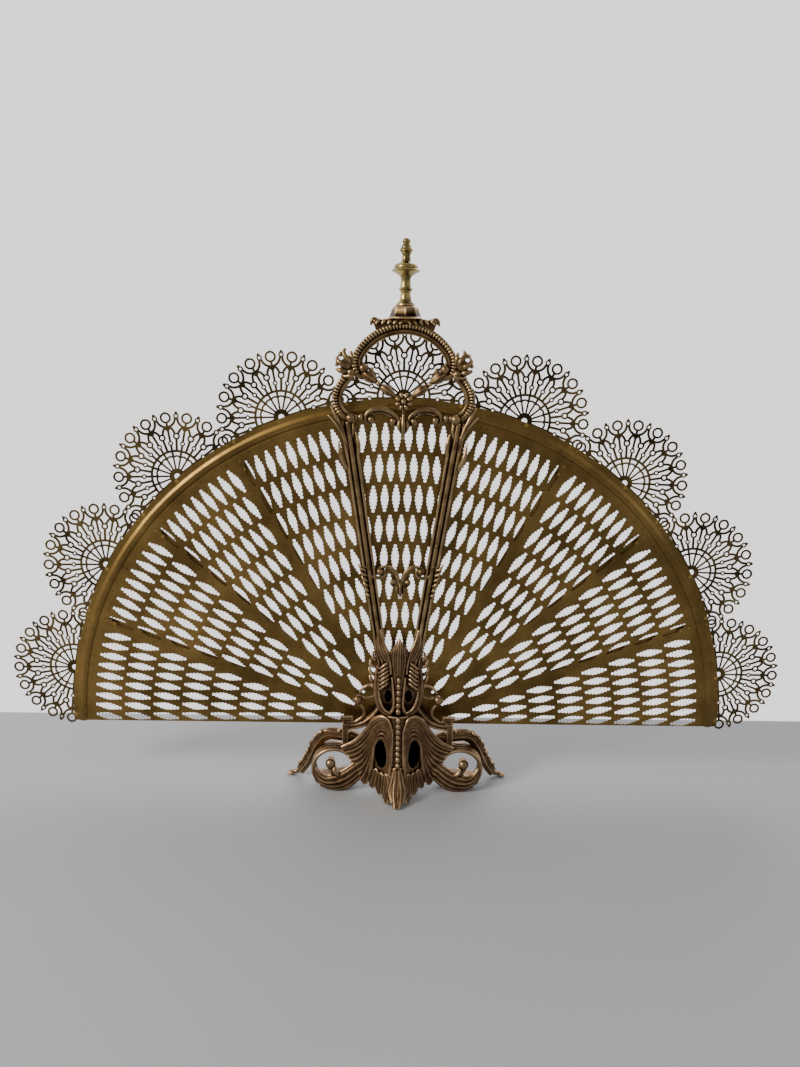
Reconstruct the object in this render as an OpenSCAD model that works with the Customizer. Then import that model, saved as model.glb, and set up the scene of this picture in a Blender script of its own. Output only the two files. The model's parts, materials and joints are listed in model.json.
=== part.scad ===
/* [Fan] */
// Height of the leaf pivot above the floor
pivot_z = 80; // [70:1:110]
// Radius from the pivot to the outer edge of a leaf
leaf_r = 411; // [330:1:500]
// Angle between neighbouring leaves when the fan is open
leaf_step = 20; // [20:1:21]
// Thickness of the brass sheet
sheet_t = 0.45; // [0.4:0.05:0.6]
// Spacing of the leaf planes, front to back
leaf_pitch = 1.5; // [1.5:0.1:2]
// Angle from a leaf's axis to its outer edge
leaf_outer_a = 10; // [10:0.1:10.4]
// Angle from a leaf's axis to its inner edge, which lies behind its neighbour
leaf_inner_a = 11.1; // [10.8:0.1:11.4]
// Angle from the centre leaf's axis to either edge
centre_a = 10.5; // [10.3:0.1:10.6]
// Radius of the disc round the pivot hole
hub_r = 13; // [11:0.5:15]
// Width of the pressed bead round the rim
bead_w = 11; // [9:0.5:13]
// Height of the pressed bead
bead_h = 2.4; // [1.6:0.1:2.8]
// Width of the flat flange outside the bead
flange_w = 5.5; // [5:0.1:8]

/* [Leaf openings] */
// Length of one opening
slot_len = 32; // [26:0.5:34]
// Width of one opening
slot_w = 9.4; // [7:0.2:10]
// Spacing of openings across a row
slot_pitch = 13.5; // [12.5:0.1:15]
// Spacing of the rows along the leaf
row_pitch = 36.2; // [35:0.1:42]
// Solid margin between the bead and the first row
rim_margin = 11.5; // [8:0.5:14]
// Shift of the pattern towards a leaf's inner edge
slot_shift = 2.6; // [1:0.1:3]
// Solid margin along a side leaf's inner edge, behind its neighbour
inner_margin = 5; // [4.5:0.5:10]
// Rows of openings on a leaf
slot_rows = 9; // [6:1:9]

/* [Rosettes] */
// Radius of a rosette, from its centre to the tips
rosette_r = 77; // [65:1:82]
// Radius at which the rosette's own centre sits beyond the leaf's edge
rosette_lift = 1; // [0:0.5:3]
// Width of the fretwork bars
fret_w = 1.8; // [1.4:0.1:2.6]
// Diameter of the rosette rivets
rivet_d = 3; // [2:0.5:4]

/* [Leaf stops] */
// Distance from the outer edge of a leaf in to the middle of its clips
clip_inset = 31; // [27:1:111]
// Length of a stop clip along the leaf's edge
clip_len = 16; // [12:1:20]
// Diameter of the catch pin that meets a clip
catch_d = 2; // [1.6:0.2:2.4]
// Gap between a catch pin and its clip when the fan is open
stop_gap = 0.3; // [0.2:0.05:0.5]
// Gap kept between sheets that pass each other
pass_gap = 0.3; // [0.2:0.05:0.35]

/* [Pivot] */
// Diameter of the pivot stud
stud_d = 8; // [6:0.5:10]
// Radial running clearance of a leaf on the stud
stud_gap = 0.05; // [0.03:0.01:0.1]
// Outer radius of the spacer washers
washer_r = 10; // [8:0.5:11]
// Thickness of the rear yoke
yoke_t = 5; // [4:0.5:7]

/* [Frame] */
// Depth of the cast frame, front to back
frame_d = 10; // [8:0.5:14]
// Gap from the frame to the front of the pressed bead
frame_gap = 2; // [1.5:0.5:4]
// Height of the top of the arch above the pivot
arch_top = 495; // [400:1:600]
// Half of the width of the arch
arch_hw = 60; // [54:1:66]
// Half of the distance between the uprights at the pivot's height
upright_foot = 6.5; // [5:0.5:9]
// Slope of an upright from the vertical
upright_a = 8.45; // [8.2:0.05:8.7]
// Width of an upright at its top
upright_w = 12; // [9:0.5:14]
// Height of the mid crossbar above the pivot
crossbar_z = 207; // [150:1:260]
// Height of the turned finial above the bell cap
finial_h = 70; // [55:1:90]
// Height of the bell cap
bell_h = 16; // [12:1:22]

/* [Base] */
// Half of the distance between the volute centres
volute_x = 80; // [72:1:90]
// Outer radius of the volutes
volute_r = 26; // [22:1:28]
// Distance of the toe's tip in front of the centre leaf
toe_y = 62; // [50:1:75]
// Half of the distance between the tail feet's tips
tail_x = 138; // [120:1:150]
// Distance of the tail feet's tips behind the centre leaf
tail_y = 23; // [20:1:40]
// Half of the distance between the corners of the rest brackets
bracket_x = 68; // [60:1:78]

/* [Hidden] */
SIDE_LEAVES = 4;
edge_margin = 0.6;
bead_r1 = leaf_r - flange_w;
bead_r0 = bead_r1 - bead_w;
slot_top_r = bead_r0 - rim_margin - slot_len / 2;
rosette_c = leaf_r + rosette_lift;
clip_r = leaf_r - clip_inset;
last_y = 2 * SIDE_LEAVES * leaf_pitch;
frame_back = -(bead_h + frame_gap);
frame_mid = frame_back - frame_d / 2;
yoke_y = last_y + leaf_pitch;
seg_a = 1.5;
tail_r = 5;
fan_y = (toe_y - tail_y - tail_r) / 2;
clip_t = 0.4;
clip_rivet_d = 1.6;
head_h = 0.25;
catch_in_a = 0.85;
catch_a = leaf_step - leaf_inner_a + catch_in_a;
foot_a = catch_a + (catch_d / 2 + stop_gap) / clip_r * 180 / PI;
foot_t = 1;
clip_w = 4.6;
lug_w = 22;
lug_z = -27;
lug_h = 14;
arch_side_r = 27;
arch_side_c = [arch_hw - arch_side_r, arch_top - 45];
arch_top_r = (pow(arch_side_c.x, 2) + pow(arch_top - arch_side_c.y, 2) - pow(arch_side_r, 2))
    / (2 * (arch_top - arch_side_c.y - arch_side_r));
arch_top_c = arch_top - arch_top_r;
arch_join_a = atan2(arch_side_c.y - arch_top_c, arch_side_c.x);
arch_w = 12.5;
curl_r = 12;
curl_a = -30;
curl_c = arch_side_c + (arch_side_r - curl_r) * [cos(curl_a), sin(curl_a)];
lobe_c = [56, arch_top - 86];
lobe_r = 28;
lobe_top_r = 50;
lobe_join_a = 15;
lobe_top_c = lobe_c - (lobe_top_r - lobe_r) * [cos(lobe_join_a), sin(lobe_join_a)];
lobe_end_z = lobe_c.y - lobe_r + 5;
bar_z = lobe_c.y - 21;
bell_z = arch_top + 3;
finial_z = bell_z + bell_h;
mask_top = 118;
skirt_top = 28;
floor_z = -pivot_z;
volute_z = floor_z + volute_r - 0.6;
side_names = ["left", "right"];

function leaf_y(k, side) = k == 0 ? 0 : leaf_pitch * (2 * k - (side < 0 ? 1 : 0));
function polar(r, a) = [r * sin(a), r * cos(a)];
function bead_rise(t) = bead_h * (1 - pow(2 * t - 1, 2));
function steps(a0, a1, step) = let(n = ceil(abs(a1 - a0) / step)) [for (i = [0:n]) a0 + (a1 - a0) * i / n];

module at_pivot() translate([0, fan_y, pivot_z]) children();
module slab(y, t) translate([0, y + t, 0]) rotate([90, 0, 0]) linear_extrude(t) children();
module mirrored() {
    children();
    mirror([1, 0, 0]) children();
}
module ring_sector(c, r, w, a0, a1) translate(c) polygon(concat(
    [for (a = steps(a0, a1, 10)) r * [cos(a), sin(a)]],
    [for (a = steps(a1, a0, 10)) (r - w) * [cos(a), sin(a)]]));
module pin_y(x, z, y, len, r) translate([x, y + len, z]) rotate([90, 0, 0]) cylinder(h = len, r = r, $fn = 48);
module ball(x, z, r, y = frame_mid) translate([x, y, z]) sphere(r = r, $fn = 48);

// One opening of the sheet: a lozenge with blunt ends.
module slot(len, w) polygon([[-0.18 * w, len / 2], [0.18 * w, len / 2], [w / 2, 0.12 * len],
    [w / 2, -0.12 * len], [0.18 * w, -len / 2], [-0.18 * w, -len / 2], [-w / 2, -0.12 * len],
    [-w / 2, 0.12 * len]]);

// Flat part of a leaf, from the hub to the foot of the bead, drawn with its axis upwards.
module leaf_plate(a0, a1, shift, margin) {
    difference() {
        intersection() {
            circle(r = bead_r0 + 0.6, $fn = 360);
            polygon([polar(hub_r - 4, a0 - 1), polar(leaf_r, a0 - 1), polar(leaf_r, a1 + 1),
                polar(hub_r - 4, a1 + 1)]);
        }
        for (i = [0:slot_rows - 1]) {
            n = slot_rows + 1 - i;
            r = slot_top_r - i * row_pitch;
            for (j = [0:n - 1]) {
                x = (j - (n - 1) / 2) * slot_pitch - shift;
                if (x - slot_w / 2 > r * tan(a0) + margin && x + slot_w / 2 < r * tan(a1) - edge_margin)
                    translate([x, sqrt(r * r - x * x)]) slot(slot_len, slot_w);
            }
        }
    }
}

// Pressed bead and rim flange, turned about the pivot.
module leaf_rim(a0, a1) {
    bead_n = 6;
    front = concat([for (i = [0:bead_n]) [bead_r0 + bead_w * i / bead_n, bead_rise(i / bead_n)]],
        [[leaf_r, 0]]);
    m = len(front);
    rotate([90, 0, 0]) rotate([0, 0, 89 - a1]) rotate_extrude(angle = a1 - a0 + 2, $fn = 360)
        polygon(concat(front, [for (i = [m - 1:-1:0]) front[i] - [0, sheet_t]]));
}

// Both are drawn a degree too wide on each side, and trimmed to the leaf's straight edges together.
module leaf(a0, a1, shift, margin) difference() {
    union() {
        intersection() {
            union() {
                slab(0, sheet_t) leaf_plate(a0, a1, shift, margin);
                leaf_rim(a0, a1);
            }
            slab(-bead_h - 1, bead_h + 2) polygon([polar(hub_r - 2, a0), polar(leaf_r + 20, a0),
                polar(leaf_r + 20, a1), polar(hub_r - 2, a1)]);
        }
        pin_y(0, 0, 0, sheet_t, hub_r);
    }
    pin_y(0, 0, -1, sheet_t + 2, stud_d / 2 + stud_gap);
}

// Fretwork rosette, stamped from sheet and cut off straight under the rim flange.
module rosette_plate() {
    eye_r = 0.89 * rosette_r;
    ring_r = 0.39 * rosette_r;
    difference() {
        union() {
            circle(r = 0.12 * rosette_r, $fn = 12);
            for (q = [ring_r, 0.72 * rosette_r]) difference() {
                circle(r = q, $fn = 12 * 3);
                circle(r = q - fret_w, $fn = 12 * 3);
            }
            for (i = [-4.5:4.5]) rotate(20.6 * i) {
                translate([-fret_w / 2, 0]) square([fret_w, eye_r - 4]);
                translate([0, eye_r]) circle(r = 6, $fn = 12);
            }
            for (i = [-4:4]) rotate(20.6 * i) {
                translate([-fret_w / 2, ring_r - 1]) square([fret_w, 0.8 * rosette_r - ring_r]);
                translate([0, 0.95 * rosette_r]) circle(r = 0.05 * rosette_r, $fn = 6);
                for (s = [-1, 1]) translate([0, 0.93 * rosette_r]) rotate(s * 140)
                    translate([-fret_w / 2, 0]) square([fret_w, 18]);
            }
        }
        for (i = [-4.5:4.5]) rotate(20.6 * i) translate([0, eye_r]) circle(r = 4.2, $fn = 12);
    }
}

// The rosette lies behind the flange, with its lower edge on the flange's inner edge.
module rosette(a0, a1) slab(sheet_t, sheet_t) difference() {
    union() {
        intersection() {
            translate([0, rosette_c]) rosette_plate();
            rosette_field(a0, a1);
        }
        polygon(concat([for (a = steps(a0 + 0.4, a1 - 0.4, seg_a)) polar(bead_r1 + 0.3, a)],
            [for (a = steps(a1 - 0.4, a0 + 0.4, seg_a)) polar(leaf_r - 0.4, a)]));
    }
    for (a = rivet_angles(a0, a1)) translate(polar(rivet_r(), a)) circle(d = rivet_d, $fn = 48);
}
module rosette_field(a0, a1) polygon(concat([for (a = steps(a0 - 2, a1 + 2, seg_a)) polar(leaf_r - 1.4, a)],
    [polar(leaf_r + rosette_r + 9, a1 + 4), polar(leaf_r + rosette_r + 9, a0 - 4)]));
function rivet_r() = leaf_r - flange_w / 2 + 0.1;
function rivet_angles(a0, a1) = [a0 + 1.2, 0.6, a1 - 1.2];

module rosette_rivets(a0, a1) for (a = rivet_angles(a0, a1)) {
    p = polar(rivet_r(), a);
    pin_y(p.x, p.y, 0, 2 * sheet_t, rivet_d / 2);
    pin_y(p.x, p.y, -head_h, head_h, rivet_d / 2 + 0.6);
}

// Stop clip: a strip riveted on the leaf's outer corner, with a foot bent back towards the next leaf.
module at_clip() rotate([0, foot_a, 0]) translate([0, 0, clip_r]) children();
module clip(planes) at_clip() difference() {
    union() {
        translate([-clip_w, -clip_t, -clip_len / 2]) cube([clip_w + foot_t, clip_t, clip_len]);
        translate([0, -clip_t, -clip_len / 4])
            cube([foot_t, clip_t + planes * leaf_pitch - pass_gap, clip_len / 2]);
    }
    for (s = [-1, 1]) pin_y(-clip_w / 2, s * clip_len / 3, -1, 2, clip_rivet_d / 2);
}
module clip_rivets() at_clip() for (s = [-1, 1]) {
    pin_y(-clip_w / 2, s * clip_len / 3, -clip_t, clip_t + sheet_t, clip_rivet_d / 2);
    pin_y(-clip_w / 2, s * clip_len / 3, -clip_t - head_h, head_h, clip_rivet_d / 2 + 0.5);
}
// Holes for the clip's rivets, and the slot that lets its foot through the sheet.
module clip_holes() at_clip() {
    for (s = [-1, 1]) pin_y(-clip_w / 2, s * clip_len / 3, -1, 3, clip_rivet_d / 2);
    translate([-pass_gap, -1, -clip_len / 4 - pass_gap])
        cube([foot_t + 2 * pass_gap, 3, clip_len / 2 + 2 * pass_gap]);
}
// Catch pin, riveted through the inner corner of a moving leaf.
module at_catch() rotate([0, catch_in_a - leaf_inner_a, 0]) translate([0, 0, clip_r]) children();
module catch_pin() at_catch() pin_y(0, 0, pass_gap + 0.05 + sheet_t - leaf_pitch,
    leaf_pitch - pass_gap - 0.05, catch_d / 2);

// Places a leaf that is drawn upwards with its inner edge on the left onto its side and plane.
module place(k, side) at_pivot() translate([0, leaf_y(k, side), 0]) rotate([0, side * k * leaf_step, 0])
    if (side < 0) mirror([1, 0, 0]) children(); else children();

module rivet_holes(a0, a1) for (a = rivet_angles(a0, a1)) {
    p = polar(rivet_r(), a);
    pin_y(p.x, p.y, -1, 3, rivet_d / 2);
}
module side_leaf(k, side) color("#8a7436") place(k, side) difference() {
    leaf(-leaf_inner_a, leaf_outer_a, slot_shift, inner_margin);
    rivet_holes(-leaf_inner_a, leaf_outer_a);
    if (k < SIDE_LEAVES) clip_holes();
    at_catch() pin_y(0, 0, -1, 3, catch_d / 2);
}
module side_rosette(k, side) color("#7a6a3a") place(k, side) rosette(-leaf_inner_a, leaf_outer_a);
module side_rivets(k, side) color("#b39a54") place(k, side) {
    rosette_rivets(-leaf_inner_a, leaf_outer_a);
    catch_pin();
    if (k < SIDE_LEAVES) clip_rivets();
}
module side_clip(k, side) color("#a58d4a") place(k, side) clip(2);

module leaf_centre() color("#8a7436") at_pivot() difference() {
    leaf(-centre_a, centre_a, 0, edge_margin);
    rivet_holes(-centre_a, centre_a);
    mirrored() clip_holes();
}
module rosette_centre() color("#7a6a3a") at_pivot() rosette(-centre_a, centre_a);
module rivets_centre() color("#b39a54") at_pivot() {
    rosette_rivets(-centre_a, centre_a);
    mirrored() clip_rivets();
}
module clips_centre() color("#a58d4a") at_pivot() {
    clip(2);
    mirror([1, 0, 0]) clip(1);
}

// Castings of the cartouche: the arch that serves as the handle, and the lobe below each end of it.
module arch_handle() color("#6e5836") at_pivot() {
    slab(frame_mid - frame_d / 2, frame_d) {
        ring_sector([0, arch_top_c], arch_top_r, arch_w, arch_join_a - 1, 181 - arch_join_a);
        mirrored() ring_sector(arch_side_c, arch_side_r, arch_w, curl_a - 1, arch_join_a + 1);
    }
    slab(frame_mid - 3, 6) mirrored() ring_sector(curl_c, curl_r - 1, 6, curl_a - 150, curl_a + 6);
    mirrored() ball(curl_c.x - 2, curl_c.y + 1, 6);
}
module lobe() {
    slab(frame_mid - frame_d / 2, frame_d) {
        ring_sector(lobe_top_c, lobe_top_r, arch_w - 1, lobe_join_a - 1, lobe_join_a + 40);
        ring_sector(lobe_c, lobe_r, arch_w - 1, -78, lobe_join_a + 1);
    }
    ball(lobe_c.x + 2, lobe_end_z, 6);
    // Leaf cluster that joins the lobe to the arch
    ball(66, arch_top - 45, 8.5);
    ball(71.5, arch_top - 38, 5);
    ball(74, arch_top - 50, 5);
}
module lobe_left() color("#6e5836") at_pivot() mirror([1, 0, 0]) lobe();
module lobe_right() color("#6e5836") at_pivot() lobe();

// Lower bar of the cartouche: two C-scrolls, beads and a drop leaf.
module c_scroll(x) {
    side_c = [10, bar_z - 0.5];
    top_r = 24;
    top_c = bar_z + 11 - top_r;
    a = atan2(side_c.y - top_c, side_c.x);
    translate([x, 0, 0]) {
        slab(frame_mid - 3, 6) {
            ring_sector([0, top_c], top_r, 4.6, a - 2, 182 - a);
            mirrored() ring_sector(side_c, 8, 4.6, -100, a + 2);
        }
        mirrored() ball(11, bar_z - 5, 4.2);
    }
}
module drop_leaf(z, len, r) translate([0, frame_mid, z]) {
    rotate([180, 0, 0]) cylinder(h = len, r1 = r, r2 = 0.8, $fn = 48);
    sphere(r = r, $fn = 48);
}
module lower_scroll_bar() color("#6e5836") at_pivot() {
    mirrored() {
        c_scroll(24.5);
        ball(49, bar_z + 1, 4.2);
        translate([39, frame_mid, bar_z + 1]) rotate([0, 90, 0]) cylinder(h = 16, r = 1.6, $fn = 32);
    }
    translate([-9, frame_mid - 2, bar_z - 4]) cube([18, 4, 5]);
    drop_leaf(bar_z - 4, 19, 5.5);
}
module husk(x, z, a, len, r) translate([x, frame_mid, z]) rotate([0, 90 - a, 0]) {
    cylinder(h = len * 0.4, r1 = 1.2, r2 = r, $fn = 48);
    translate([0, 0, len * 0.4]) cylinder(h = len * 0.6, r1 = r, r2 = 1.2, $fn = 48);
}
module flower_and_husks() {
    z0 = lobe_c.y - 1;
    run = [curl_c.x - 6, curl_c.y - 1 - z0];
    a = atan2(run.y, run.x);
    span = norm(run);
    color("#7d6538") at_pivot() {
        translate([0, frame_mid - 4.5, z0]) {
            rotate([-90, 0, 0]) cylinder(h = 6, r = 6, $fn = 48);
            sphere(r = 3.4, $fn = 48);
            for (i = [0:7]) rotate([0, 45 * i, 0]) translate([0, 1, 6.2]) sphere(r = 2.6, $fn = 32);
        }
        translate([0, frame_mid, bar_z - 1]) cylinder(h = z0 - bar_z, r = 2.5, $fn = 32);
        mirrored() {
            husk(run.x * 0.12, z0 + run.y * 0.12, a, span * 0.45, 3.6);
            husk(run.x * 0.54, z0 + run.y * 0.54, a, span * 0.47, 4.4);
        }
    }
}
// Leaf canopy over the arch, which carries the bell cap.
module canopy_leaf() color("#6e5836") at_pivot() difference() {
    union() {
        slab(frame_mid - 6, 12) ring_sector([0, arch_top_c], arch_top_r + 3, 3, 60, 120);
        mirrored() pin_y(35, arch_top - 3.5, frame_mid - 7, 14, 4.4);
        translate([0, frame_mid, arch_top - 1]) cylinder(h = bell_z - arch_top + 1, r = 15, $fn = 64);
    }
    translate([0, frame_mid, arch_top - 30]) cylinder(h = 60, r = 3, $fn = 48);
    slab(frame_mid - 20, 40) ring_sector([0, arch_top_c], arch_top_r, 12, 60, 120);
}
module bell_cap() color("#9a8450") at_pivot() translate([0, frame_mid, bell_z]) rotate_extrude($fn = 96)
    polygon([[3, 0], [19.5, 0], [19.5, 1.5], [17.6, 2.6], [16, 5], [14.6, 9], [14.2, bell_h - 3],
        [12.5, bell_h - 2], [11, bell_h], [3, bell_h]]);
// Turned finial: foot, collar, waist, flange, neck, knob and top ball.
module finial() {
    h = finial_h;
    color("#9a8a58") at_pivot() translate([0, frame_mid, finial_z]) {
        difference() {
            rotate_extrude($fn = 96) polygon([[0, 0], [10, 0], [10, 0.02 * h], [8, 0.035 * h],
                [6.8, 0.055 * h], [5.9, 0.11 * h], [5.5, 0.17 * h], [6.4, 0.2 * h], [8, 0.225 * h],
                [8, 0.24 * h], [6.6, 0.25 * h], [5.9, 0.27 * h], [5.4, 0.36 * h], [6.4, 0.42 * h],
                [9.2, 0.455 * h], [12.4, 0.485 * h], [15.4, 0.51 * h], [15.4, 0.52 * h],
                [13, 0.55 * h], [12.4, 0.58 * h], [9.2, 0.62 * h], [5.5, 0.65 * h], [4.3, 0.73 * h],
                [5.5, 0.775 * h], [7.4, 0.82 * h], [6.2, 0.85 * h], [4.5, 0.9 * h], [3, 0.92 * h],
                [0, 0.92 * h]]);
            translate([0, 0, -1]) cylinder(h = 16, r = 3, $fn = 48);
        }
        translate([0, 0, h - 4.3]) sphere(r = 4.3, $fn = 48);
    }
}
module finial_rod() color("#8c8c88") at_pivot() translate([0, frame_mid, arch_top])
    cylinder(h = finial_z + 15 - arch_top, r = 3, $fn = 48);

// Uprights: a tapered bar with a raised centre roll.
function upright_x(z) = upright_foot + z * tan(upright_a);
module upright() {
    z0 = mask_top - 18;
    z1 = lobe_end_z - 4;
    w0 = upright_w * 0.52;
    length = (z1 - z0) / cos(upright_a);
    slab(frame_back - frame_d * 0.7, frame_d * 0.7) polygon([[upright_x(z0) - w0 / 2, z0],
        [upright_x(z0) + w0 / 2, z0], [upright_x(z1) + upright_w / 2, z1],
        [upright_x(z1) - upright_w / 2, z1]]);
    slab(frame_back - frame_d * 0.7, frame_d * 0.7) polygon([[lobe_c.x + 4, z1 - 4],
        [upright_x(z1), z1 - 4], [upright_x(z1), z1], [lobe_c.x + 4, z1]]);
    translate([upright_x(z0), frame_back - frame_d * 0.7, z0]) rotate([0, upright_a, 0])
        cylinder(h = length, r1 = w0 * 0.3, r2 = upright_w * 0.3, $fn = 48);
    // Acanthus sprig outside the top
    translate([upright_x(z1 - 30) + 5, frame_mid, z1 - 32]) rotate([0, 22, 0])
        cylinder(h = 46, r1 = 1.5, r2 = 4.2, $fn = 48);
}
module upright_left() color("#6e5836") at_pivot() mirror([1, 0, 0]) upright();
module upright_right() color("#6e5836") at_pivot() upright();

// Crossbar half way up: two dipping arms with scroll balls and a drop leaf.
module mid_crossbar() {
    x1 = upright_x(crossbar_z) - upright_w * 0.2;
    color("#6e5836") at_pivot() {
        slab(frame_mid - 2.5, 5) {
            mirrored() {
                ring_sector([22, crossbar_z - 7], 14, 5, 20, 205);
                ring_sector([0, crossbar_z - 5], 12.5, 5, -88, -20);
                polygon([[31, crossbar_z - 5], [x1, crossbar_z + 2], [x1, crossbar_z + 7],
                    [31, crossbar_z + 4]]);
            }
            translate([-3, crossbar_z - 19]) square([6, 6]);
        }
        mirrored() {
            ball(24, crossbar_z - 1, 5.4);
            ball(9, crossbar_z - 12, 4);
        }
        drop_leaf(crossbar_z - 18, 16, 4.6);
    }
}

// Mask piece: two rolled leaves over dark eye hollows, with a fluted plume between the uprights.
module mask_piece() {
    back = frame_back + 2;
    depth = 15;
    color("#6e5836") at_pivot() difference() {
        union() {
            slab(back - depth, depth) polygon([[-22, skirt_top], [22, skirt_top], [28, 50], [29, 88],
                [20, mask_top - 14], [9, mask_top - 10], [0, mask_top + 10], [-9, mask_top - 10],
                [-20, mask_top - 14], [-29, 88], [-28, 50]]);
            mirrored() translate([17, back - depth, 38]) cylinder(h = 52, r = 9, $fn = 48);
            translate([0, back - depth, 30]) cylinder(h = 80, r = 5, $fn = 48);
            pin_y(0, 0, -6, 6 - leaf_pitch / 2, 12);
            translate([-12, -10, 0]) cube([24, 5, skirt_top + 4]);
        }
        mirrored() pin_y(11.5, 50, back - depth - 20, 22, 5.5);
        pin_y(0, 0, -5, 6, stud_d / 2);
    }
}

// Skirt of the base: a hollow acanthus that flares forward and down to the toe.
function skirt_ring(w, yf, yb) = [[-w, yb], [-w, yb - 10], [-0.62 * w, 0.45 * yf + 0.55 * yb - 8],
    [-0.2 * w, yf + 3], [0, yf], [0.2 * w, yf + 3], [0.62 * w, 0.45 * yf + 0.55 * yb - 8], [w, yb - 10],
    [w, yb]];
module skirt_solid(inset, drop) {
    levels = [[skirt_top, 20, -30, -10], [0, 28, -34, -10], [-42, 36, -43, -8],
        [floor_z, 42, -toe_y, -8]];
    for (i = [0:2]) hull() for (q = [levels[i], levels[i + 1]]) translate([0, 0, q[0] - drop
        * (q[0] == floor_z ? 1 : 0)]) linear_extrude(0.5)
        polygon(skirt_ring(q[1] - inset, q[2] + inset, q[3] + inset * 0.9));
}
module tear(x, z) slab(-120, 110) translate([x, z]) polygon([for (a = [0:15:345]) [6.6 * cos(a),
    21 * sin(a) - 2 * cos(2 * a)]]);
module acanthus_foot() color("#74572f") at_pivot() difference() {
    union() {
        difference() {
            skirt_solid(0, 0);
            skirt_solid(6, 1);
            tear(-21, -23);
            tear(21, -23);
        }
        translate([-lug_w / 2, -37, lug_z - lug_h / 2]) cube([lug_w, 37 + yoke_y, lug_h]);
    }
    mirrored() pin_y(lug_w / 4, lug_z, yoke_y - 12, 13, 2);
}

// Volute: a ribbed arm that leaves the skirt and rolls up round a ball.
module volute() intersection() {
    union() {
        translate([volute_x, -14, volute_z]) rotate([90, 0, 0]) rotate([0, 0, -110])
            rotate_extrude(angle = 220, $fn = 96) translate([volute_r - 7.5, -9]) square([7.5, 18]);
        hull() {
            translate([volute_x - 12, -14, volute_z - volute_r + 9]) rotate([90, 0, 0])
                cylinder(h = 16, r = 8, center = true, $fn = 32);
            translate([35, -16, -46]) rotate([90, 0, 0]) cylinder(h = 14, r = 15, center = true, $fn = 32);
        }
        translate([volute_x + 6, -14, volute_z + 10]) sphere(r = 7, $fn = 48);
        translate([volute_x + 3, -14, volute_z + 8]) rotate([0, 60, 0]) cylinder(h = 17, r = 4, $fn = 32);
    }
    translate([20, -40, floor_z]) cube([120, 60, 120]);
}
module volute_left() color("#74572f") at_pivot() mirror([1, 0, 0]) volute();
module volute_right() color("#74572f") at_pivot() volute();

// Tail foot: arches from the yoke over the volute and down to the floor.
module tail_foot() intersection() {
    path = [[46, yoke_y - 7.5, -27, 9], [74, 3, -14, 9], [98, 9, -14, 9.5], [116, 15, -34, 8],
        [tail_x, tail_y, -72, tail_r]];
    union() {
        for (i = [0:3]) hull() for (q = [path[i], path[i + 1]]) translate([q[0], q[1], q[2]])
            sphere(r = q[3], $fn = 24);
        translate([tail_x, tail_y, floor_z]) cylinder(h = 9, r = tail_r, $fn = 48);
    }
    translate([30, -10, floor_z]) cube([140, 60, 200]);
}
module tail_foot_left() color("#74572f") at_pivot() mirror([1, 0, 0]) tail_foot();
module tail_foot_right() color("#74572f") at_pivot() tail_foot();

// Rest bracket: an arm from the mask to a square post, with a pad under the outermost leaf.
module rest_bracket() {
    bar = 5;
    rest_depth = last_y + 4 - frame_back;
    slab(frame_back - bar, bar)
        polygon([[18, 30], [32, 20], [44, 10], [bracket_x - bar, 4.5], [bracket_x - bar, -30],
            [bracket_x, -30], [bracket_x, 10], [46, 16], [36, 26], [28, 40], [18, 42]]);
    translate([bracket_x - bar, frame_back - 1, -bar - pass_gap]) cube([bar, rest_depth, bar]);
    translate([bracket_x - 4, frame_back - bar, 9]) cube([8, 3, 8]);
    translate([0, frame_back - bar / 2, 0]) {
        translate([46, 0, 30]) rotate([90, 0, 0]) rotate([0, 0, 60]) rotate_extrude(angle = 200, $fn = 64)
            translate([12, 0]) circle(r = 2.2, $fn = 32);
        translate([52, 0, 42]) sphere(r = 4.6, $fn = 48);
    }
}
module rest_bracket_left() color("#7d6538") at_pivot() mirror([1, 0, 0]) rest_bracket();
module rest_bracket_right() color("#7d6538") at_pivot() rest_bracket();

// Rear yoke: a flat bar behind the stack that carries the stud and joins the tail feet.
module rear_yoke() color("#5f4c2e") at_pivot() difference() {
    slab(yoke_y, yoke_t) polygon(concat([for (a = steps(0, 180, 10)) 15 * [cos(a), sin(a)]],
        [[-18, lug_z + 6], [-48, lug_z + 6], [-48, lug_z - 6], [48, lug_z - 6],
        [48, lug_z + 6], [18, lug_z + 6]]));
    pin_y(0, 0, yoke_y - 1, yoke_t + 2, stud_d / 2);
    mirrored() pin_y(lug_w / 4, lug_z, yoke_y - 1, yoke_t + 2, 2);
}
module yoke_screws() color("#8c8c88") at_pivot() mirrored() {
    pin_y(lug_w / 4, lug_z, yoke_y - 12, 12 + yoke_t, 2);
    pin_y(lug_w / 4, lug_z, yoke_y + yoke_t, 2.4, 3.6);
}
module pivot_stud() color("#8c8c88") at_pivot() pin_y(0, 0, -5, yoke_y + yoke_t + 5 + 6, stud_d / 2);
module pivot_nut() color("#9a8450") at_pivot() difference() {
    union() {
        translate([0, yoke_y + yoke_t, 0]) rotate([-90, 0, 0]) cylinder(h = 6, r = 8, $fn = 6);
        pin_y(0, 0, yoke_y + yoke_t + 6, 2.4, 6);
    }
    pin_y(0, 0, yoke_y + yoke_t - 1, 7, stud_d / 2);
}
module spacer_washers() {
    t = leaf_pitch - sheet_t - pass_gap;
    color("#b39a54") at_pivot() for (i = [0:2 * SIDE_LEAVES]) difference() {
        pin_y(0, 0, i * leaf_pitch + sheet_t + pass_gap / 2, t, washer_r);
        pin_y(0, 0, i * leaf_pitch, leaf_pitch + 1, stud_d / 2);
    }
}

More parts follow.
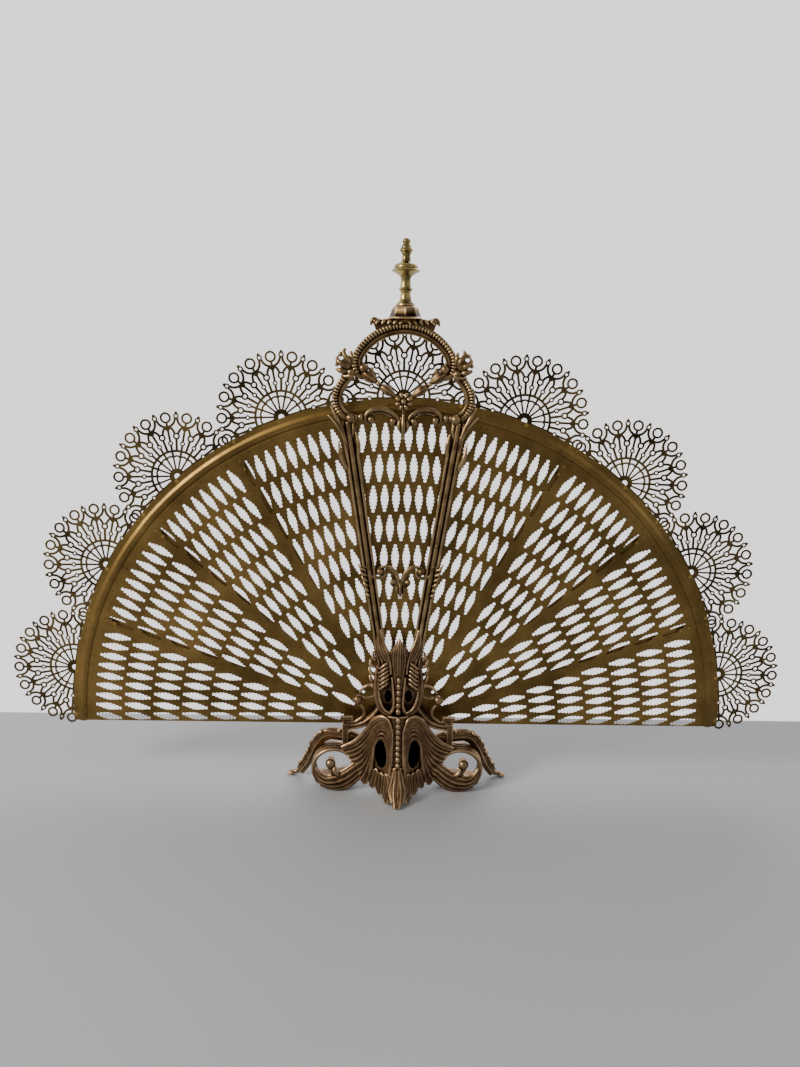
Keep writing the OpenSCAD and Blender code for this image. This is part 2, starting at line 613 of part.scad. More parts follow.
acanthus_foot();
mask_piece();
volute_left();
volute_right();
tail_foot_left();
tail_foot_right();
rest_bracket_left();
rest_bracket_right();
rear_yoke();
upright_left();
upright_right();
arch_handle();
lobe_left();
lobe_right();
lower_scroll_bar();
flower_and_husks();
canopy_leaf();
mid_crossbar();
bell_cap();
finial();
finial_rod();
pivot_stud();
pivot_nut();
spacer_washers();
yoke_screws();
leaf_centre();
rosette_centre();
rivets_centre();
clips_centre();
for (s = [0, 1]) for (k = [1:SIDE_LEAVES]) {
    side = s == 0 ? -1 : 1;
    name = str(side_names[s], "_", k);
    side_leaf(k, side);
    side_rosette(k, side);
    side_rivets(k, side);
    side_clip(k, side);
}
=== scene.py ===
import json
import math

import bmesh
import bpy
from mathutils import Matrix, Vector

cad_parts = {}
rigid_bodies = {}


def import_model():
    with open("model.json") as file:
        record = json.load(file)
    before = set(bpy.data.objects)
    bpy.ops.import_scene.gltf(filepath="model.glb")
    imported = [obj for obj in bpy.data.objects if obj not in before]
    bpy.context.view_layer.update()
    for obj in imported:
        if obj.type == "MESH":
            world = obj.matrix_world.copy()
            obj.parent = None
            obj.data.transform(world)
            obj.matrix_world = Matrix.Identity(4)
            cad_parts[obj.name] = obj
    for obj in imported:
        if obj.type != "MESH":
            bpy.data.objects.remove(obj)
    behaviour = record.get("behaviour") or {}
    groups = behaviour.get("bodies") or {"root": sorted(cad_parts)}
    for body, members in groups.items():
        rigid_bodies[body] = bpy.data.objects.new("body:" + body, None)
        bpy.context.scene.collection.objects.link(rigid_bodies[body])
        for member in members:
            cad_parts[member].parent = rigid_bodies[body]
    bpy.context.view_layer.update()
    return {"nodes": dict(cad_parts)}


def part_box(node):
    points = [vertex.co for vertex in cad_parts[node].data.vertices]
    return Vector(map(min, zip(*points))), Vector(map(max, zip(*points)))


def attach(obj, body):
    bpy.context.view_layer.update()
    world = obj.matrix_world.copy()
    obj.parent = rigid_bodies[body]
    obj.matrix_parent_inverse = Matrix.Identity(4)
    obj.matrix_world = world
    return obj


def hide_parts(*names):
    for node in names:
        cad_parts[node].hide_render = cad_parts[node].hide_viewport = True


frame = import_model()

# ---------------------------------------------------------------- Camera, floor and light
# The screen stands on a plain pale floor in front of an even pale background.
# A large soft light from the left front models the castings, and two weaker ones fill the right and the back.

camera = bpy.data.objects.new("camera", bpy.data.cameras.new("camera"))
bpy.context.scene.collection.objects.link(camera)
bpy.context.scene.camera = camera
camera.location = (-0.01395, -0.8808, 0.534)
camera.rotation_euler = [math.radians(a) for a in (77.298, -1.005, -0.579)]
camera.data.sensor_width = 36
camera.data.lens = 25.98


def linear(hex_colour):
    """An sRGB hex colour as linear red, green, blue and alpha."""
    parts = [int(hex_colour[i:i + 2], 16) / 255 for i in (1, 3, 5)]
    return [c / 12.92 if c <= 0.04045 else ((c + 0.055) / 1.055) ** 2.4 for c in parts] + [1]


def add(tree, kind, inputs=None, **settings):
    """Adds a node, sets its settings, and links or sets its inputs by name or number."""
    made = tree.nodes.new(kind)
    for key, value in settings.items():
        setattr(made, key, value)
    for key, value in (inputs or {}).items():
        if isinstance(value, bpy.types.NodeSocket):
            tree.links.new(value, made.inputs[key])
        else:
            made.inputs[key].default_value = value
    return made


def new_material(name):
    """An empty material and its node tree."""
    material = bpy.data.materials.new(name)
    material.use_nodes = True
    material.node_tree.nodes.clear()
    return material, material.node_tree


def area_light(name, place, aim, size, watts, colour):
    """A round soft light at a place, turned to shine on a point."""
    light = bpy.data.lights.new(name, "AREA")
    light.shape = "DISK"
    light.size = size
    light.energy = watts
    light.color = linear(colour)[:3]
    lamp = bpy.data.objects.new(name, light)
    bpy.context.scene.collection.objects.link(lamp)
    lamp.location = place
    lamp.rotation_euler = (Vector(aim) - Vector(place)).to_track_quat("-Z", "Y").to_euler()


area_light("key", (-2.0, -1.1, 1.5), (0, 0, 0.25), 0.8, 66, "#fff6ea")
area_light("fill", (1.9, -1.3, 1.2), (0, 0, 0.3), 1.6, 4, "#eef2ff")
area_light("back", (0.6, 2.0, 2.0), (0, 0, 0.3), 1.6, 22, "#f4f6ff")

world = bpy.data.worlds.new("studio")
world.use_nodes = True
bpy.context.scene.world = world
world.node_tree.nodes.clear()
tree = world.node_tree
# Brighter behind the screen than in front of it, as in a room lit from one end.
where = add(tree, "ShaderNodeTexCoord")
axes = add(tree, "ShaderNodeSeparateXYZ", {"Vector": where.outputs["Generated"]})
depth = add(tree, "ShaderNodeMapRange", {"Value": axes.outputs["Y"], "From Min": -0.2, "From Max": 0.5})
sky = add(tree, "ShaderNodeMix", {"Factor": depth.outputs[0], 6: linear("#85827f"), 7: linear("#f4f0f0")},
          data_type="RGBA")
glow = add(tree, "ShaderNodeBackground", {"Color": sky.outputs[2], "Strength": 1.75})
add(tree, "ShaderNodeOutputWorld", {"Surface": glow.outputs[0]})

# Floor paint: matt, pale grey, with slow changes of tone.
floor_paint, tree = new_material("matt_floor_paint")
where = add(tree, "ShaderNodeTexCoord")
drift = add(tree, "ShaderNodeTexNoise", {"Vector": where.outputs["Object"], "Scale": 1.5, "Detail": 3})
tone = add(tree, "ShaderNodeMix", {"Factor": drift.outputs[0], 6: linear("#94989d"), 7: linear("#a2a5a9")},
           data_type="RGBA")
paint = add(tree, "ShaderNodeBsdfPrincipled", {"Base Color": tone.outputs[2], "Roughness": 0.75})
add(tree, "ShaderNodeOutputMaterial", {"Surface": paint.outputs[0]})
# The floor's far edge lies this far behind the pivot, in metres, where a wall would meet it.
FLOOR_HALF, FLOOR_BACK = 6, 0.21
ground = bmesh.new()
bmesh.ops.create_grid(ground, x_segments=1, y_segments=1, size=FLOOR_HALF)
bmesh.ops.translate(ground, vec=(0, FLOOR_BACK - FLOOR_HALF, 0), verts=ground.verts)
floor_mesh = bpy.data.meshes.new("floor")
ground.to_mesh(floor_mesh)
floor = bpy.data.objects.new("floor", floor_mesh)
floor_mesh.materials.append(floor_paint)
bpy.context.scene.collection.objects.link(floor)

# ---------------------------------------------------------------- Leaves
# Nine leaves of thin rolled brass sheet, pierced with rows of lozenge openings with stepped edges.
# Each has a half-round bead pressed along its rim, a narrow flat flange outside it, and a bore for the stud.
# All sizes are in millimetres about the pivot: x to the right, y backwards, z up.
MM = 0.001
SHEET = 0.45
LEAF_STEP = 20
LEAF_IN, LEAF_OUT, LEAF_MID = 11.1, 10, 10.5
HUB_R, BORE_R = 13, 4.05
PLATE_R, BEAD_R0, BEAD_CREST, BEAD_R1, LEAF_R = 392.6, 394.5, 400, 405.5, 411
BEAD_RISE, GROOVE = 2.35, 0.32
ROWS, ROW_PITCH, FIRST_ROW_R, PITCH, SHIFT = 9, 36.2, 367, 13.5, 2.6
EDGE_MARGIN, INNER_MARGIN, OPENING_W = 0.6, 5, 9.4
LOBES = [(2.05, 4.6), (6.15, 3.9), (10.25, 2.9), (14.35, 1.8)]

stud_low, stud_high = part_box("pivot_stud")
sheet_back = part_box("leaf_centre")[1].y
PIVOT = Vector(((stud_low.x + stud_high.x) / 2, sheet_back - SHEET * MM, (stud_low.z + stud_high.z) / 2))


def polar(r, degrees):
    """A point at r from the pivot, at an angle from straight up, clockwise."""
    a = math.radians(degrees)
    return r * math.sin(a), r * math.cos(a)


def arc(centre, r, start, end, steps):
    """Points along an arc about a centre, counterclockwise from the x axis, in degrees."""
    angles = [math.radians(start + (end - start) * i / steps) for i in range(steps + 1)]
    return [(centre[0] + r * math.cos(a), centre[1] + r * math.sin(a)) for a in angles]


def opening(x, z):
    """Outline of one opening: round teeth along both sides, widest in the middle."""
    teeth = sorted([(-c, w) for c, w in LOBES] + LOBES)
    side = []
    for (c, w), (_, after) in zip(teeth, teeth[1:] + [(0, 2)]):
        side += [(w, c - 1.1), (w, c + 1.1), (min(w, after) - 1.05, c + 2.05)]
    side = side[:-1]
    tip = teeth[-1][0] + 1.9
    return ([(x, z - tip)] + [(x + w, z + u) for w, u in side] + [(x, z + tip)]
            + [(x - w, z + u) for w, u in reversed(side)])


def openings(low, high, shift, margin):
    """Outlines of the openings that fit between a leaf's two edges, with a solid margin along the low one."""
    found, half = [], OPENING_W / 2
    for i in range(ROWS):
        r = FIRST_ROW_R - i * ROW_PITCH
        for j in range(ROWS + 1 - i):
            x = (j - (ROWS - i) / 2) * PITCH - shift
            left, right = r * math.tan(math.radians(low)), r * math.tan(math.radians(high))
            if left + half + margin < x < right - half - EDGE_MARGIN:
                found.append(opening(x, math.sqrt(r * r - x * x)))
    return found


def sheet_cut(outlines, y, thickness):
    """A flat sheet from closed outlines, the first its edge and the others its openings."""
    curve = bpy.data.curves.new("outline", "CURVE")
    curve.dimensions = "2D"
    curve.fill_mode = "BOTH"
    curve.extrude = thickness / 2
    for outline in outlines:
        spline = curve.splines.new("POLY")
        spline.points.add(len(outline) - 1)
        for point, (x, z) in zip(spline.points, outline):
            point.co = (x, z, 0, 1)
        spline.use_cyclic_u = True
    bm = curve_mesh(curve)
    upright = Matrix.Translation((0, y + thickness / 2, 0)) @ Matrix.Rotation(math.pi / 2, 4, "X")
    bmesh.ops.transform(bm, matrix=upright, verts=bm.verts)
    return bm


def curve_mesh(curve):
    """The mesh that a curve makes, as a bmesh with its seams closed."""
    holder = bpy.data.objects.new("curve", curve)
    bpy.context.scene.collection.objects.link(holder)
    graph = bpy.context.evaluated_depsgraph_get()
    bm = bmesh.new()
    bm.from_mesh(holder.evaluated_get(graph).to_mesh())
    bpy.data.objects.remove(holder)
    bmesh.ops.remove_doubles(bm, verts=bm.verts, dist=0.001)
    bmesh.ops.recalc_face_normals(bm, faces=bm.faces)
    return bm


def join(bm, other):
    """Adds another bmesh's faces to bm."""
    scrap = bpy.data.meshes.new("scrap")
    other.to_mesh(scrap)
    other.free()
    bm.from_mesh(scrap)
    bpy.data.meshes.remove(scrap)


def rim(low, high):
    """Rim of a leaf: groove, bead and flange in one profile, turned about the pivot."""
    front = [(PLATE_R - 0.3, 0), (PLATE_R + 0.5, GROOVE), (BEAD_R0 - 0.5, GROOVE), (BEAD_R0, 0)]
    front += [(BEAD_R0 + (BEAD_CREST - BEAD_R0) * (1 - math.cos(math.radians(a))),
               -BEAD_RISE * math.sin(math.radians(a))) for a in range(15, 91, 15)]
    front += [(BEAD_CREST + (BEAD_R1 - BEAD_CREST) * i / 6,
               -BEAD_RISE * (0.5 + 0.5 * math.cos(math.pi * i / 6))) for i in range(1, 7)]
    front += [(LEAF_R, 0)]
    bm = bmesh.new()
    turn = Matrix.Rotation(math.radians(low), 3, "Y")
    loop = [bm.verts.new(turn @ Vector((0, y, r))) for r, y in front]
    loop += [bm.verts.new(turn @ Vector((0, y + SHEET, r))) for r, y in reversed(front)]
    edges = [bm.edges.new((a, b)) for a, b in zip(loop, loop[1:] + loop[:1])]
    bmesh.ops.spin(bm, geom=loop + edges, cent=(0, 0, 0), axis=(0, 1, 0), angle=math.radians(high - low),
                   steps=64, use_duplicate=False)
    bmesh.ops.holes_fill(bm, edges=[e for e in bm.edges if e.is_boundary])
    bmesh.ops.recalc_face_normals(bm, faces=bm.faces)
    return bm


def leaf_mesh(low, high, shift, margin):
    """A whole leaf between two angles: hub, pierced plate and rim."""
    hub = arc((0, 0), HUB_R, 90 - high, 90 - low - 360, 40)
    edge = hub + [polar(PLATE_R, low + (high - low) * i / 40) for i in range(41)]
    bore = arc((0, 0), BORE_R, 0, 345, 23)
    bm = sheet_cut([edge, bore] + openings(low, high, shift, margin), 0, SHEET)
    join(bm, rim(low, high))
    return bm


def piece(name, bm, material, body, stands_for, turn=0, depth=0, flip=False, sharp=30):
    """Makes a piece from a bmesh drawn in millimetres about the pivot, and gives it to its body."""
    if flip:
        bmesh.ops.scale(bm, vec=(-1, 1, 1), verts=bm.verts)
        bmesh.ops.reverse_faces(bm, faces=bm.faces)
    place = (Matrix.Translation(PIVOT) @ Matrix.Scale(MM, 4) @ Matrix.Translation((0, depth, 0))
             @ Matrix.Rotation(math.radians(turn), 4, "Y"))
    bmesh.ops.transform(bm, matrix=place, verts=bm.verts)
    mesh = bpy.data.meshes.new(name)
    bm.to_mesh(mesh)
    bm.free()
    mesh.shade_smooth()
    mesh.set_sharp_from_angle(angle=math.radians(sharp))
    mesh.materials.append(material)
    made = bpy.data.objects.new(name, mesh)
    bpy.context.scene.collection.objects.link(made)
    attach(made, body)
    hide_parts(*stands_for)
    return made


# Rolled brass sheet, long tarnished: an olive brown skin with golden patches where hands have rubbed it,
# faint rolling lines and pepper-like spots of darker oxide.
sheet_brass, tree = new_material("tarnished_rolled_brass")
where = add(tree, "ShaderNodeTexCoord")
clouds = add(tree, "ShaderNodeTexNoise", {"Vector": where.outputs["Object"], "Scale": 14, "Detail": 5,
                                          "Roughness": 0.6})
patches = add(tree, "ShaderNodeValToRGB", {"Fac": clouds.outputs[0]})
patches.color_ramp.elements[0].position = 0.36
patches.color_ramp.elements[0].color = linear("#64502c")
patches.color_ramp.elements[1].position = 0.66
patches.color_ramp.elements[1].color = linear("#8f7442")
grime = add(tree, "ShaderNodeTexNoise", {"Vector": where.outputs["Object"], "Scale": 260, "Detail": 3,
                                         "Roughness": 0.7})
spots = add(tree, "ShaderNodeValToRGB", {"Fac": grime.outputs[0]})
spots.color_ramp.elements[0].position = 0.60
spots.color_ramp.elements[0].color = (1, 1, 1, 1)
spots.color_ramp.elements[1].position = 0.74
spots.color_ramp.elements[1].color = linear("#5a4a30")
colour = add(tree, "ShaderNodeMix", {"Factor": 0.8, 6: patches.outputs[0], 7: spots.outputs[0]},
             data_type="RGBA", blend_type="MULTIPLY")
dull = add(tree, "ShaderNodeMapRange", {"Value": clouds.outputs[0], "From Min": 0.3, "From Max": 0.7,
                                        "To Min": 0.46, "To Max": 0.34})
bump = add(tree, "ShaderNodeBump", {"Height": grime.outputs[0], "Strength": 0.12, "Distance": 0.0004})
brass = add(tree, "ShaderNodeBsdfPrincipled", {"Base Color": colour.outputs[2], "Metallic": 1,
                                               "Roughness": dull.outputs[0], "Normal": bump.outputs[0]})
add(tree, "ShaderNodeOutputMaterial", {"Surface": brass.outputs[0]})

SIDES = {"left": -1, "right": 1}
# Name, body, turn, depth behind the centre leaf, and whether it is a mirror image.
LEAVES = [("centre", "root", 0, 0, False)] + [
    (f"{side}_{k}", f"{side}_leaf_{k}", sign * k * LEAF_STEP,
     (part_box(f"leaf_{side}_{k}")[1].y - sheet_back) / MM, sign < 0)
    for side, sign in SIDES.items() for k in (1, 2, 3, 4)]

for name, body, turn, depth, flip in LEAVES:
    shape = (-LEAF_IN, LEAF_OUT, SHIFT, INNER_MARGIN)
    if name == "centre":
        shape = (-LEAF_MID, LEAF_MID, 0, EDGE_MARGIN)
    piece(f"pierced_leaf_{name}", leaf_mesh(*shape), sheet_brass, body,
          [f"leaf_{name}"], turn, depth, flip)

# ---------------------------------------------------------------- Rosettes
# A fretwork rosette of stamped brass, riveted behind each leaf's flange, stands above the rim like lace.
# Spokes run from a solid boss to two rings, then stems with eyelets branch to a border of circles and spades.
ROSETTE_Z = LEAF_R + 1
FRET_T = 0.45
FRET_W = 2.9
SECTOR = 20.6
BOSS_R, PETAL_R, RING_R = 9.4, 23.2, 29.9
SMALL_EYE, NODE, LARGE_EYE, CIRCLE, TIP_EYE, SPADE = 39, 56, 47.3, 69, 70.6, 76.5


def thicken(bm, depth):
    """Gives a sheet of faces a thickness towards the back."""
    grown = bmesh.ops.extrude_face_region(bm, geom=bm.faces[:])["geom"]
    moved = [v for v in grown if isinstance(v, bmesh.types.BMVert)]
    bmesh.ops.translate(bm, vec=(0, depth, 0), verts=moved)
    bmesh.ops.recalc_face_normals(bm, faces=bm.faces)
    return bm


def slab(outline, y0, y1):
    """A flat plate between two depths, from one closed outline."""
    bm = bmesh.new()
    bm.faces.new([bm.verts.new((x, y0, z)) for x, z in outline])
    return thicken(bm, y1 - y0)


def flat_piece(outline):
    """A flat bar or disc of the fretwork's thickness."""
    return slab(outline, SHEET, SHEET + FRET_T)


def through(outline):
    """A cutter for the fretwork, thick enough to pass right through it."""
    return slab(outline, SHEET - FRET_T, SHEET + 2 * FRET_T)


def strip(points, width):
    """Outline of a bar of even width along a line of points."""
    sides = ([], [])
    for i, (x, z) in enumerate(points):
        before, after = points[max(i - 1, 0)], points[min(i + 1, len(points) - 1)]
        dx, dz = after[0] - before[0], after[1] - before[1]
        size = math.hypot(dx, dz)
        for side, sign in zip(sides, (1, -1)):
            side.append((x - sign * dz / size * width / 2, z + sign * dx / size * width / 2))
    return sides[0] + sides[1][::-1]


def bow(a, b, lift, steps=6):
    """Points from a to b that bow to the left by lift at the middle."""
    dx, dz = b[0] - a[0], b[1] - a[1]
    size = math.hypot(dx, dz)
    ts = [i / steps for i in range(steps + 1)]
    return [(a[0] + dx * t - dz / size * lift * 4 * t * (1 - t),
             a[1] + dz * t + dx / size * lift * 4 * t * (1 - t)) for t in ts]


def combine(first, meshes, operation):
    """Unites a closed bmesh with, or cuts from it, a list of others."""
    group = bpy.data.collections.new("group")
    bpy.context.scene.collection.children.link(group)
    for bm in meshes:
        mesh = bpy.data.meshes.new("part")
        bm.to_mesh(mesh)
        bm.free()
        group.objects.link(bpy.data.objects.new("part", mesh))
    mesh = bpy.data.meshes.new("base")
    first.to_mesh(mesh)
    first.free()
    base = bpy.data.objects.new("base", mesh)
    bpy.context.scene.collection.objects.link(base)
    cut = base.modifiers.new("cut", "BOOLEAN")
    cut.operand_type = "COLLECTION"
    cut.collection = group
    cut.operation = operation
    cut.solver = "MANIFOLD"
    graph = bpy.context.evaluated_depsgraph_get()
    bm = bmesh.new()
    bm.from_mesh(base.evaluated_get(graph).to_mesh())
    for used in [base, *group.objects]:
        bpy.data.objects.remove(used)
    bpy.data.collections.remove(group)
    return bm


def rosette_mesh(low, high):
    """The whole fretwork, cut off at the foot of the flange, with the band that is riveted to it."""
    def at(r, sector):
        x, z = polar(r, sector * SECTOR)
        return x, z + ROSETTE_Z

    centre, foot_r = (0, ROSETTE_Z), BEAD_R1 + 0.3
    solids, holes = [], [arc(centre, 3.5, 0, 345, 15), arc((0, 0), foot_r, 0, 359, 359)]
    turns = [low + 0.4 + (high - low - 0.8) * i / 30 for i in range(31)]
    band = [polar(foot_r, turn) for turn in turns] + [polar(LEAF_R - 0.4, turn) for turn in reversed(turns)]
    solids.append(strip(arc(centre, RING_R, -8, 188, 60), FRET_W))
    solids.append(arc(centre, BOSS_R, 0, 345, 23))
    for i in range(-5, 6):
        solids.append(strip([at(BOSS_R - 1, i + 0.5), at(PETAL_R, i + 0.5)], 2.2))
        solids.append(strip([at(PETAL_R - 1, i + 0.5), at(NODE, i + 0.5)], FRET_W - 0.2))
        solids.append(strip(bow(at(PETAL_R - 0.6, i - 0.5), at(PETAL_R - 0.6, i + 0.5), 1.9), 2.3))
        solids.append(arc(at(SMALL_EYE, i + 0.5), 3.1, 0, 330, 11))
        holes.append(arc(at(SMALL_EYE, i + 0.5), 1.35, 0, 330, 11))
        solids.append(arc(at(NODE, i + 0.5), 2.9, 0, 330, 11))
        solids.append(strip([at(NODE, i + 0.5), at(CIRCLE - 5, i + 0.5)], FRET_W))
        solids.append(arc(at(CIRCLE, i + 0.5), 6.6, 0, 345, 23))
        holes.append(arc(at(CIRCLE, i + 0.5), 4.1, 0, 345, 23))
        solids.append([at(CIRCLE + 5.4, i + 0.46), at(CIRCLE + 7.8, i + 0.5), at(CIRCLE + 5.4, i + 0.54)])
        up = 90 - (i + 0.5) * SECTOR
        solids.append(strip(arc(at(CIRCLE, i + 0.5), 10.9, up + 100, up + 260, 16), FRET_W))
        solids.append(strip([at(RING_R - 0.5, i), at(LARGE_EYE, i)], FRET_W))
        solids.append(arc(at(LARGE_EYE, i), 4.3, 0, 337.5, 15))
        holes.append(arc(at(LARGE_EYE, i), 2.1, 0, 337.5, 15))
        for s in (-1, 1):
            solids.append(strip(bow(at(LARGE_EYE + 2.4, i + s * 0.11), at(NODE + 2.6, i + s * 0.42), s * 1.3),
                                FRET_W))
        solids.append(arc(at(TIP_EYE, i), 3.4, 0, 330, 11))
        holes.append(arc(at(TIP_EYE, i), 1.5, 0, 330, 11))
        solids.append([at(TIP_EYE + 2, i - 0.06), at(TIP_EYE + 3.8, i - 0.075), at(SPADE, i),
                       at(TIP_EYE + 3.8, i + 0.075), at(TIP_EYE + 2, i + 0.06)])
    united = combine(flat_piece(band), [flat_piece(s) for s in solids], "UNION")
    return combine(united, [through(h) for h in holes], "DIFFERENCE")


# The same brass as the leaves but never handled, so it has gone a darker, greyer brown, and gold in patches.
fret_brass, tree = new_material("darkened_stamped_brass")
where = add(tree, "ShaderNodeTexCoord")
clouds = add(tree, "ShaderNodeTexNoise", {"Vector": where.outputs["Object"], "Scale": 30, "Detail": 4})
patches = add(tree, "ShaderNodeValToRGB", {"Fac": clouds.outputs[0]})
patches.color_ramp.elements[0].position = 0.35
patches.color_ramp.elements[0].color = linear("#352c1e")
patches.color_ramp.elements[1].position = 0.70
patches.color_ramp.elements[1].color = linear("#74623c")
grain = add(tree, "ShaderNodeTexNoise", {"Vector": where.outputs["Object"], "Scale": 500, "Detail": 2})
bump = add(tree, "ShaderNodeBump", {"Height": grain.outputs[0], "Strength": 0.2, "Distance": 0.0003})
brass = add(tree, "ShaderNodeBsdfPrincipled", {"Base Color": patches.outputs[0], "Metallic": 1,
                                               "Roughness": 0.46, "Normal": bump.outputs[0]})
add(tree, "ShaderNodeOutputMaterial", {"Surface": brass.outputs[0]})

side_rosette = rosette_mesh(-LEAF_IN, LEAF_OUT)
for name, body, turn, depth, flip in LEAVES:
    bm = rosette_mesh(-LEAF_MID, LEAF_MID) if name == "centre" else side_rosette.copy()
    piece(f"fretwork_rosette_{name}", bm, fret_brass, body, [f"rosette_{name}"],
          turn, depth, flip)
side_rosette.free()

# ---------------------------------------------------------------- Rivets and stop clips
# Small brass rivets with low heads fix each rosette and clip, and short brass clips join the leaves' corners.
# They are drawn from wire and strip, and their handled edges are the brightest brass on the screen.
bright_brass, tree = new_material("worn_bright_brass")
where = add(tree, "ShaderNodeTexCoord")
clouds = add(tree, "ShaderNodeTexNoise", {"Vector": where.outputs["Object"], "Scale": 120, "Detail": 3})
tint = add(tree, "ShaderNodeMix", {"Factor": clouds.outputs[0], 6: linear("#7d6531"), 7: linear("#c6a55a")},
           data_type="RGBA")
brass = add(tree, "ShaderNodeBsdfPrincipled", {"Base Color": tint.outputs[2], "Metallic": 1,
                                               "Roughness": 0.34})
add(tree, "ShaderNodeOutputMaterial", {"Surface": brass.outputs[0]})


def finish_node(node_name, material):
    """Gives a CAD node that stays as it is its finish."""
    made = frame["nodes"][node_name]
    made.data.materials.clear()
    made.data.materials.append(material)


for node_name in frame["nodes"]:
    if node_name.startswith("rivets_"):
        finish_node(node_name, bright_brass)
    elif node_name.startswith(("clip_", "clips_")):
        finish_node(node_name, sheet_brass)

# ---------------------------------------------------------------- Casting patina, painted shade and painted highlight
# The castings are sand-cast brass with an old brown patina. The colour follows the relief: dark in the
# hollows, partly patina and partly painted shade, and pale gold on ridges, partly rubbed wear and partly
# painted highlight; the base castings are coppery low down where the metal has been polished least.
HOLLOW_PATINA_AND_SHADE, LEVEL, RIDGE_WEAR_AND_HIGHLIGHT = 0.475, 0.505, 0.545


def patina_and_painted_shade(name, hollow, skin, ridge, rough):
    """Cast brass whose colour follows the relief: dark hollows (patina and painted shade), skin, then pale
    ridges (worn and painted highlight).
    """
    material, tree = new_material(name)
    where = add(tree, "ShaderNodeTexCoord")
    relief = add(tree, "ShaderNodeNewGeometry")
    clouds = add(tree, "ShaderNodeTexNoise", {"Vector": where.outputs["Object"], "Scale": 60, "Detail": 5,
                                              "Roughness": 0.65})
    shift = add(tree, "ShaderNodeMath", {0: clouds.outputs[0], 1: 0.5}, operation="SUBTRACT")
    push = add(tree, "ShaderNodeMath", {0: shift.outputs[0], 1: 0.06}, operation="MULTIPLY")
    height = add(tree, "ShaderNodeMath", {0: relief.outputs["Pointiness"], 1: push.outputs[0]})
    # Pointiness picks the colour: the dark end is patina and painted shade in the hollows, the pale end is
    # wear and painted highlight on the ridges.
    ramp = add(tree, "ShaderNodeValToRGB", {"Fac": height.outputs[0]})
    ramp.color_ramp.elements[0].position = HOLLOW_PATINA_AND_SHADE
    ramp.color_ramp.elements[0].color = linear(hollow)
    ramp.color_ramp.elements[1].position = RIDGE_WEAR_AND_HIGHLIGHT
    ramp.color_ramp.elements[1].color = linear(ridge)
    ramp.color_ramp.elements.new(LEVEL).color = linear(skin)
    grain = add(tree, "ShaderNodeTexNoise", {"Vector": where.outputs["Object"], "Scale": 700, "Detail": 3})
    bump = add(tree, "ShaderNodeBump", {"Height": grain.outputs[0], "Strength": 0.25, "Distance": 0.0003})
    gloss = add(tree, "ShaderNodeMapRange", {"Value": height.outputs[0], "From Min": 0.42, "From Max": 0.58,
                                             "To Min": rough + 0.22, "To Max": rough})
    brass = add(tree, "ShaderNodeBsdfPrincipled", {"Base Color": ramp.outputs[0], "Metallic": 1,
                                                   "Roughness": gloss.outputs[0], "Normal": bump.outputs[0]})
    add(tree, "ShaderNodeOutputMaterial", {"Surface": brass.outputs[0]})
    return material


# In these castings the dark hollows and pale ridges are painted shade and painted highlight as well as patina
# and wear.
frame_patina_and_shade = patina_and_painted_shade("cast_brass_brown_patina_painted_shade", "#181009", "#6a5438", "#cbb084", 0.27)
base_patina_and_shade = patina_and_painted_shade("cast_brass_copper_patina_painted_shade", "#170e08", "#70573e", "#d2b48e", 0.28)


def round_bar():
    """An empty curve that draws a round bar, with its radius set at each point."""
    curve = bpy.data.curves.new("bar", "CURVE")
    curve.dimensions = "3D"
    curve.resolution_u = 8
    curve.bevel_depth = 1
    curve.bevel_resolution = 3
    curve.use_fill_caps = True
    return curve


def bars(lines, origin=(0, 0, 0)):
    """Round bars along smooth lines of points from an origin, each with radii spread evenly along it."""
    curve = round_bar()
    for points, radii in lines:
        spline = curve.splines.new("BEZIER")
        spline.bezier_points.add(len(points) - 1)
        for i, (knot, place) in enumerate(zip(spline.bezier_points, points)):
            knot.co = Vector(origin) + Vector(place)
            knot.handle_left_type = knot.handle_right_type = "AUTO"
            share = i / (len(points) - 1) * (len(radii) - 1)
            k = min(int(share), len(radii) - 2)
            knot.radius = radii[k] + (radii[k + 1] - radii[k]) * (share - k)
    return curve_mesh(curve)


def lumps(balls, origin=(0, 0, 0)):
    """Rounded lumps: centre from an origin, radii along x, y and z, and a turn about y where there is one."""
    bm = bmesh.new()
    for centre, radii, *turn in balls:
        shape = (Matrix.Translation(Vector(origin) + Vector(centre))
                 @ Matrix.Rotation(math.radians(sum(turn)), 4, "Y") @ Matrix.Diagonal((*radii, 1)))
        bmesh.ops.create_uvsphere(bm, u_segments=20, v_segments=12, radius=1, matrix=shape)
    return bm


def mirrored(bm):
    """The mirror image of a bmesh, left for right, with its faces still outwards."""
    twin = bm.copy()
    bmesh.ops.scale(twin, vec=(-1, 1, 1), verts=twin.verts)
    bmesh.ops.reverse_faces(twin, faces=twin.faces)
    return twin


def fuse(parts, voxel, both_sides=False, smooth=1):
    """Melts overlapping shapes into one skin, as metal that was poured as one."""
    bm = parts[0]
    for other in parts[1:]:
        join(bm, other)
    if both_sides:
        join(bm, mirrored(bm))
    mesh = bpy.data.meshes.new("poured")
    bm.to_mesh(mesh)
    bm.free()
    poured = bpy.data.objects.new("poured", mesh)
    bpy.context.scene.collection.objects.link(poured)
    skin = poured.modifiers.new("skin", "REMESH")
    skin.mode = "VOXEL"
    skin.voxel_size = voxel
    graph = bpy.context.evaluated_depsgraph_get()
    bm = bmesh.new()
    bm.from_mesh(poured.evaluated_get(graph).to_mesh())
    bpy.data.objects.remove(poured)
    for _ in range(smooth):
        bmesh.ops.smooth_vert(bm, verts=bm.verts, factor=0.5, use_axis_x=True, use_axis_y=True,
                              use_axis_z=True)
    return bm


def in_plane(points, y):
    """Flat points put at a depth."""
    return [(x, y, z) for x, z in points]


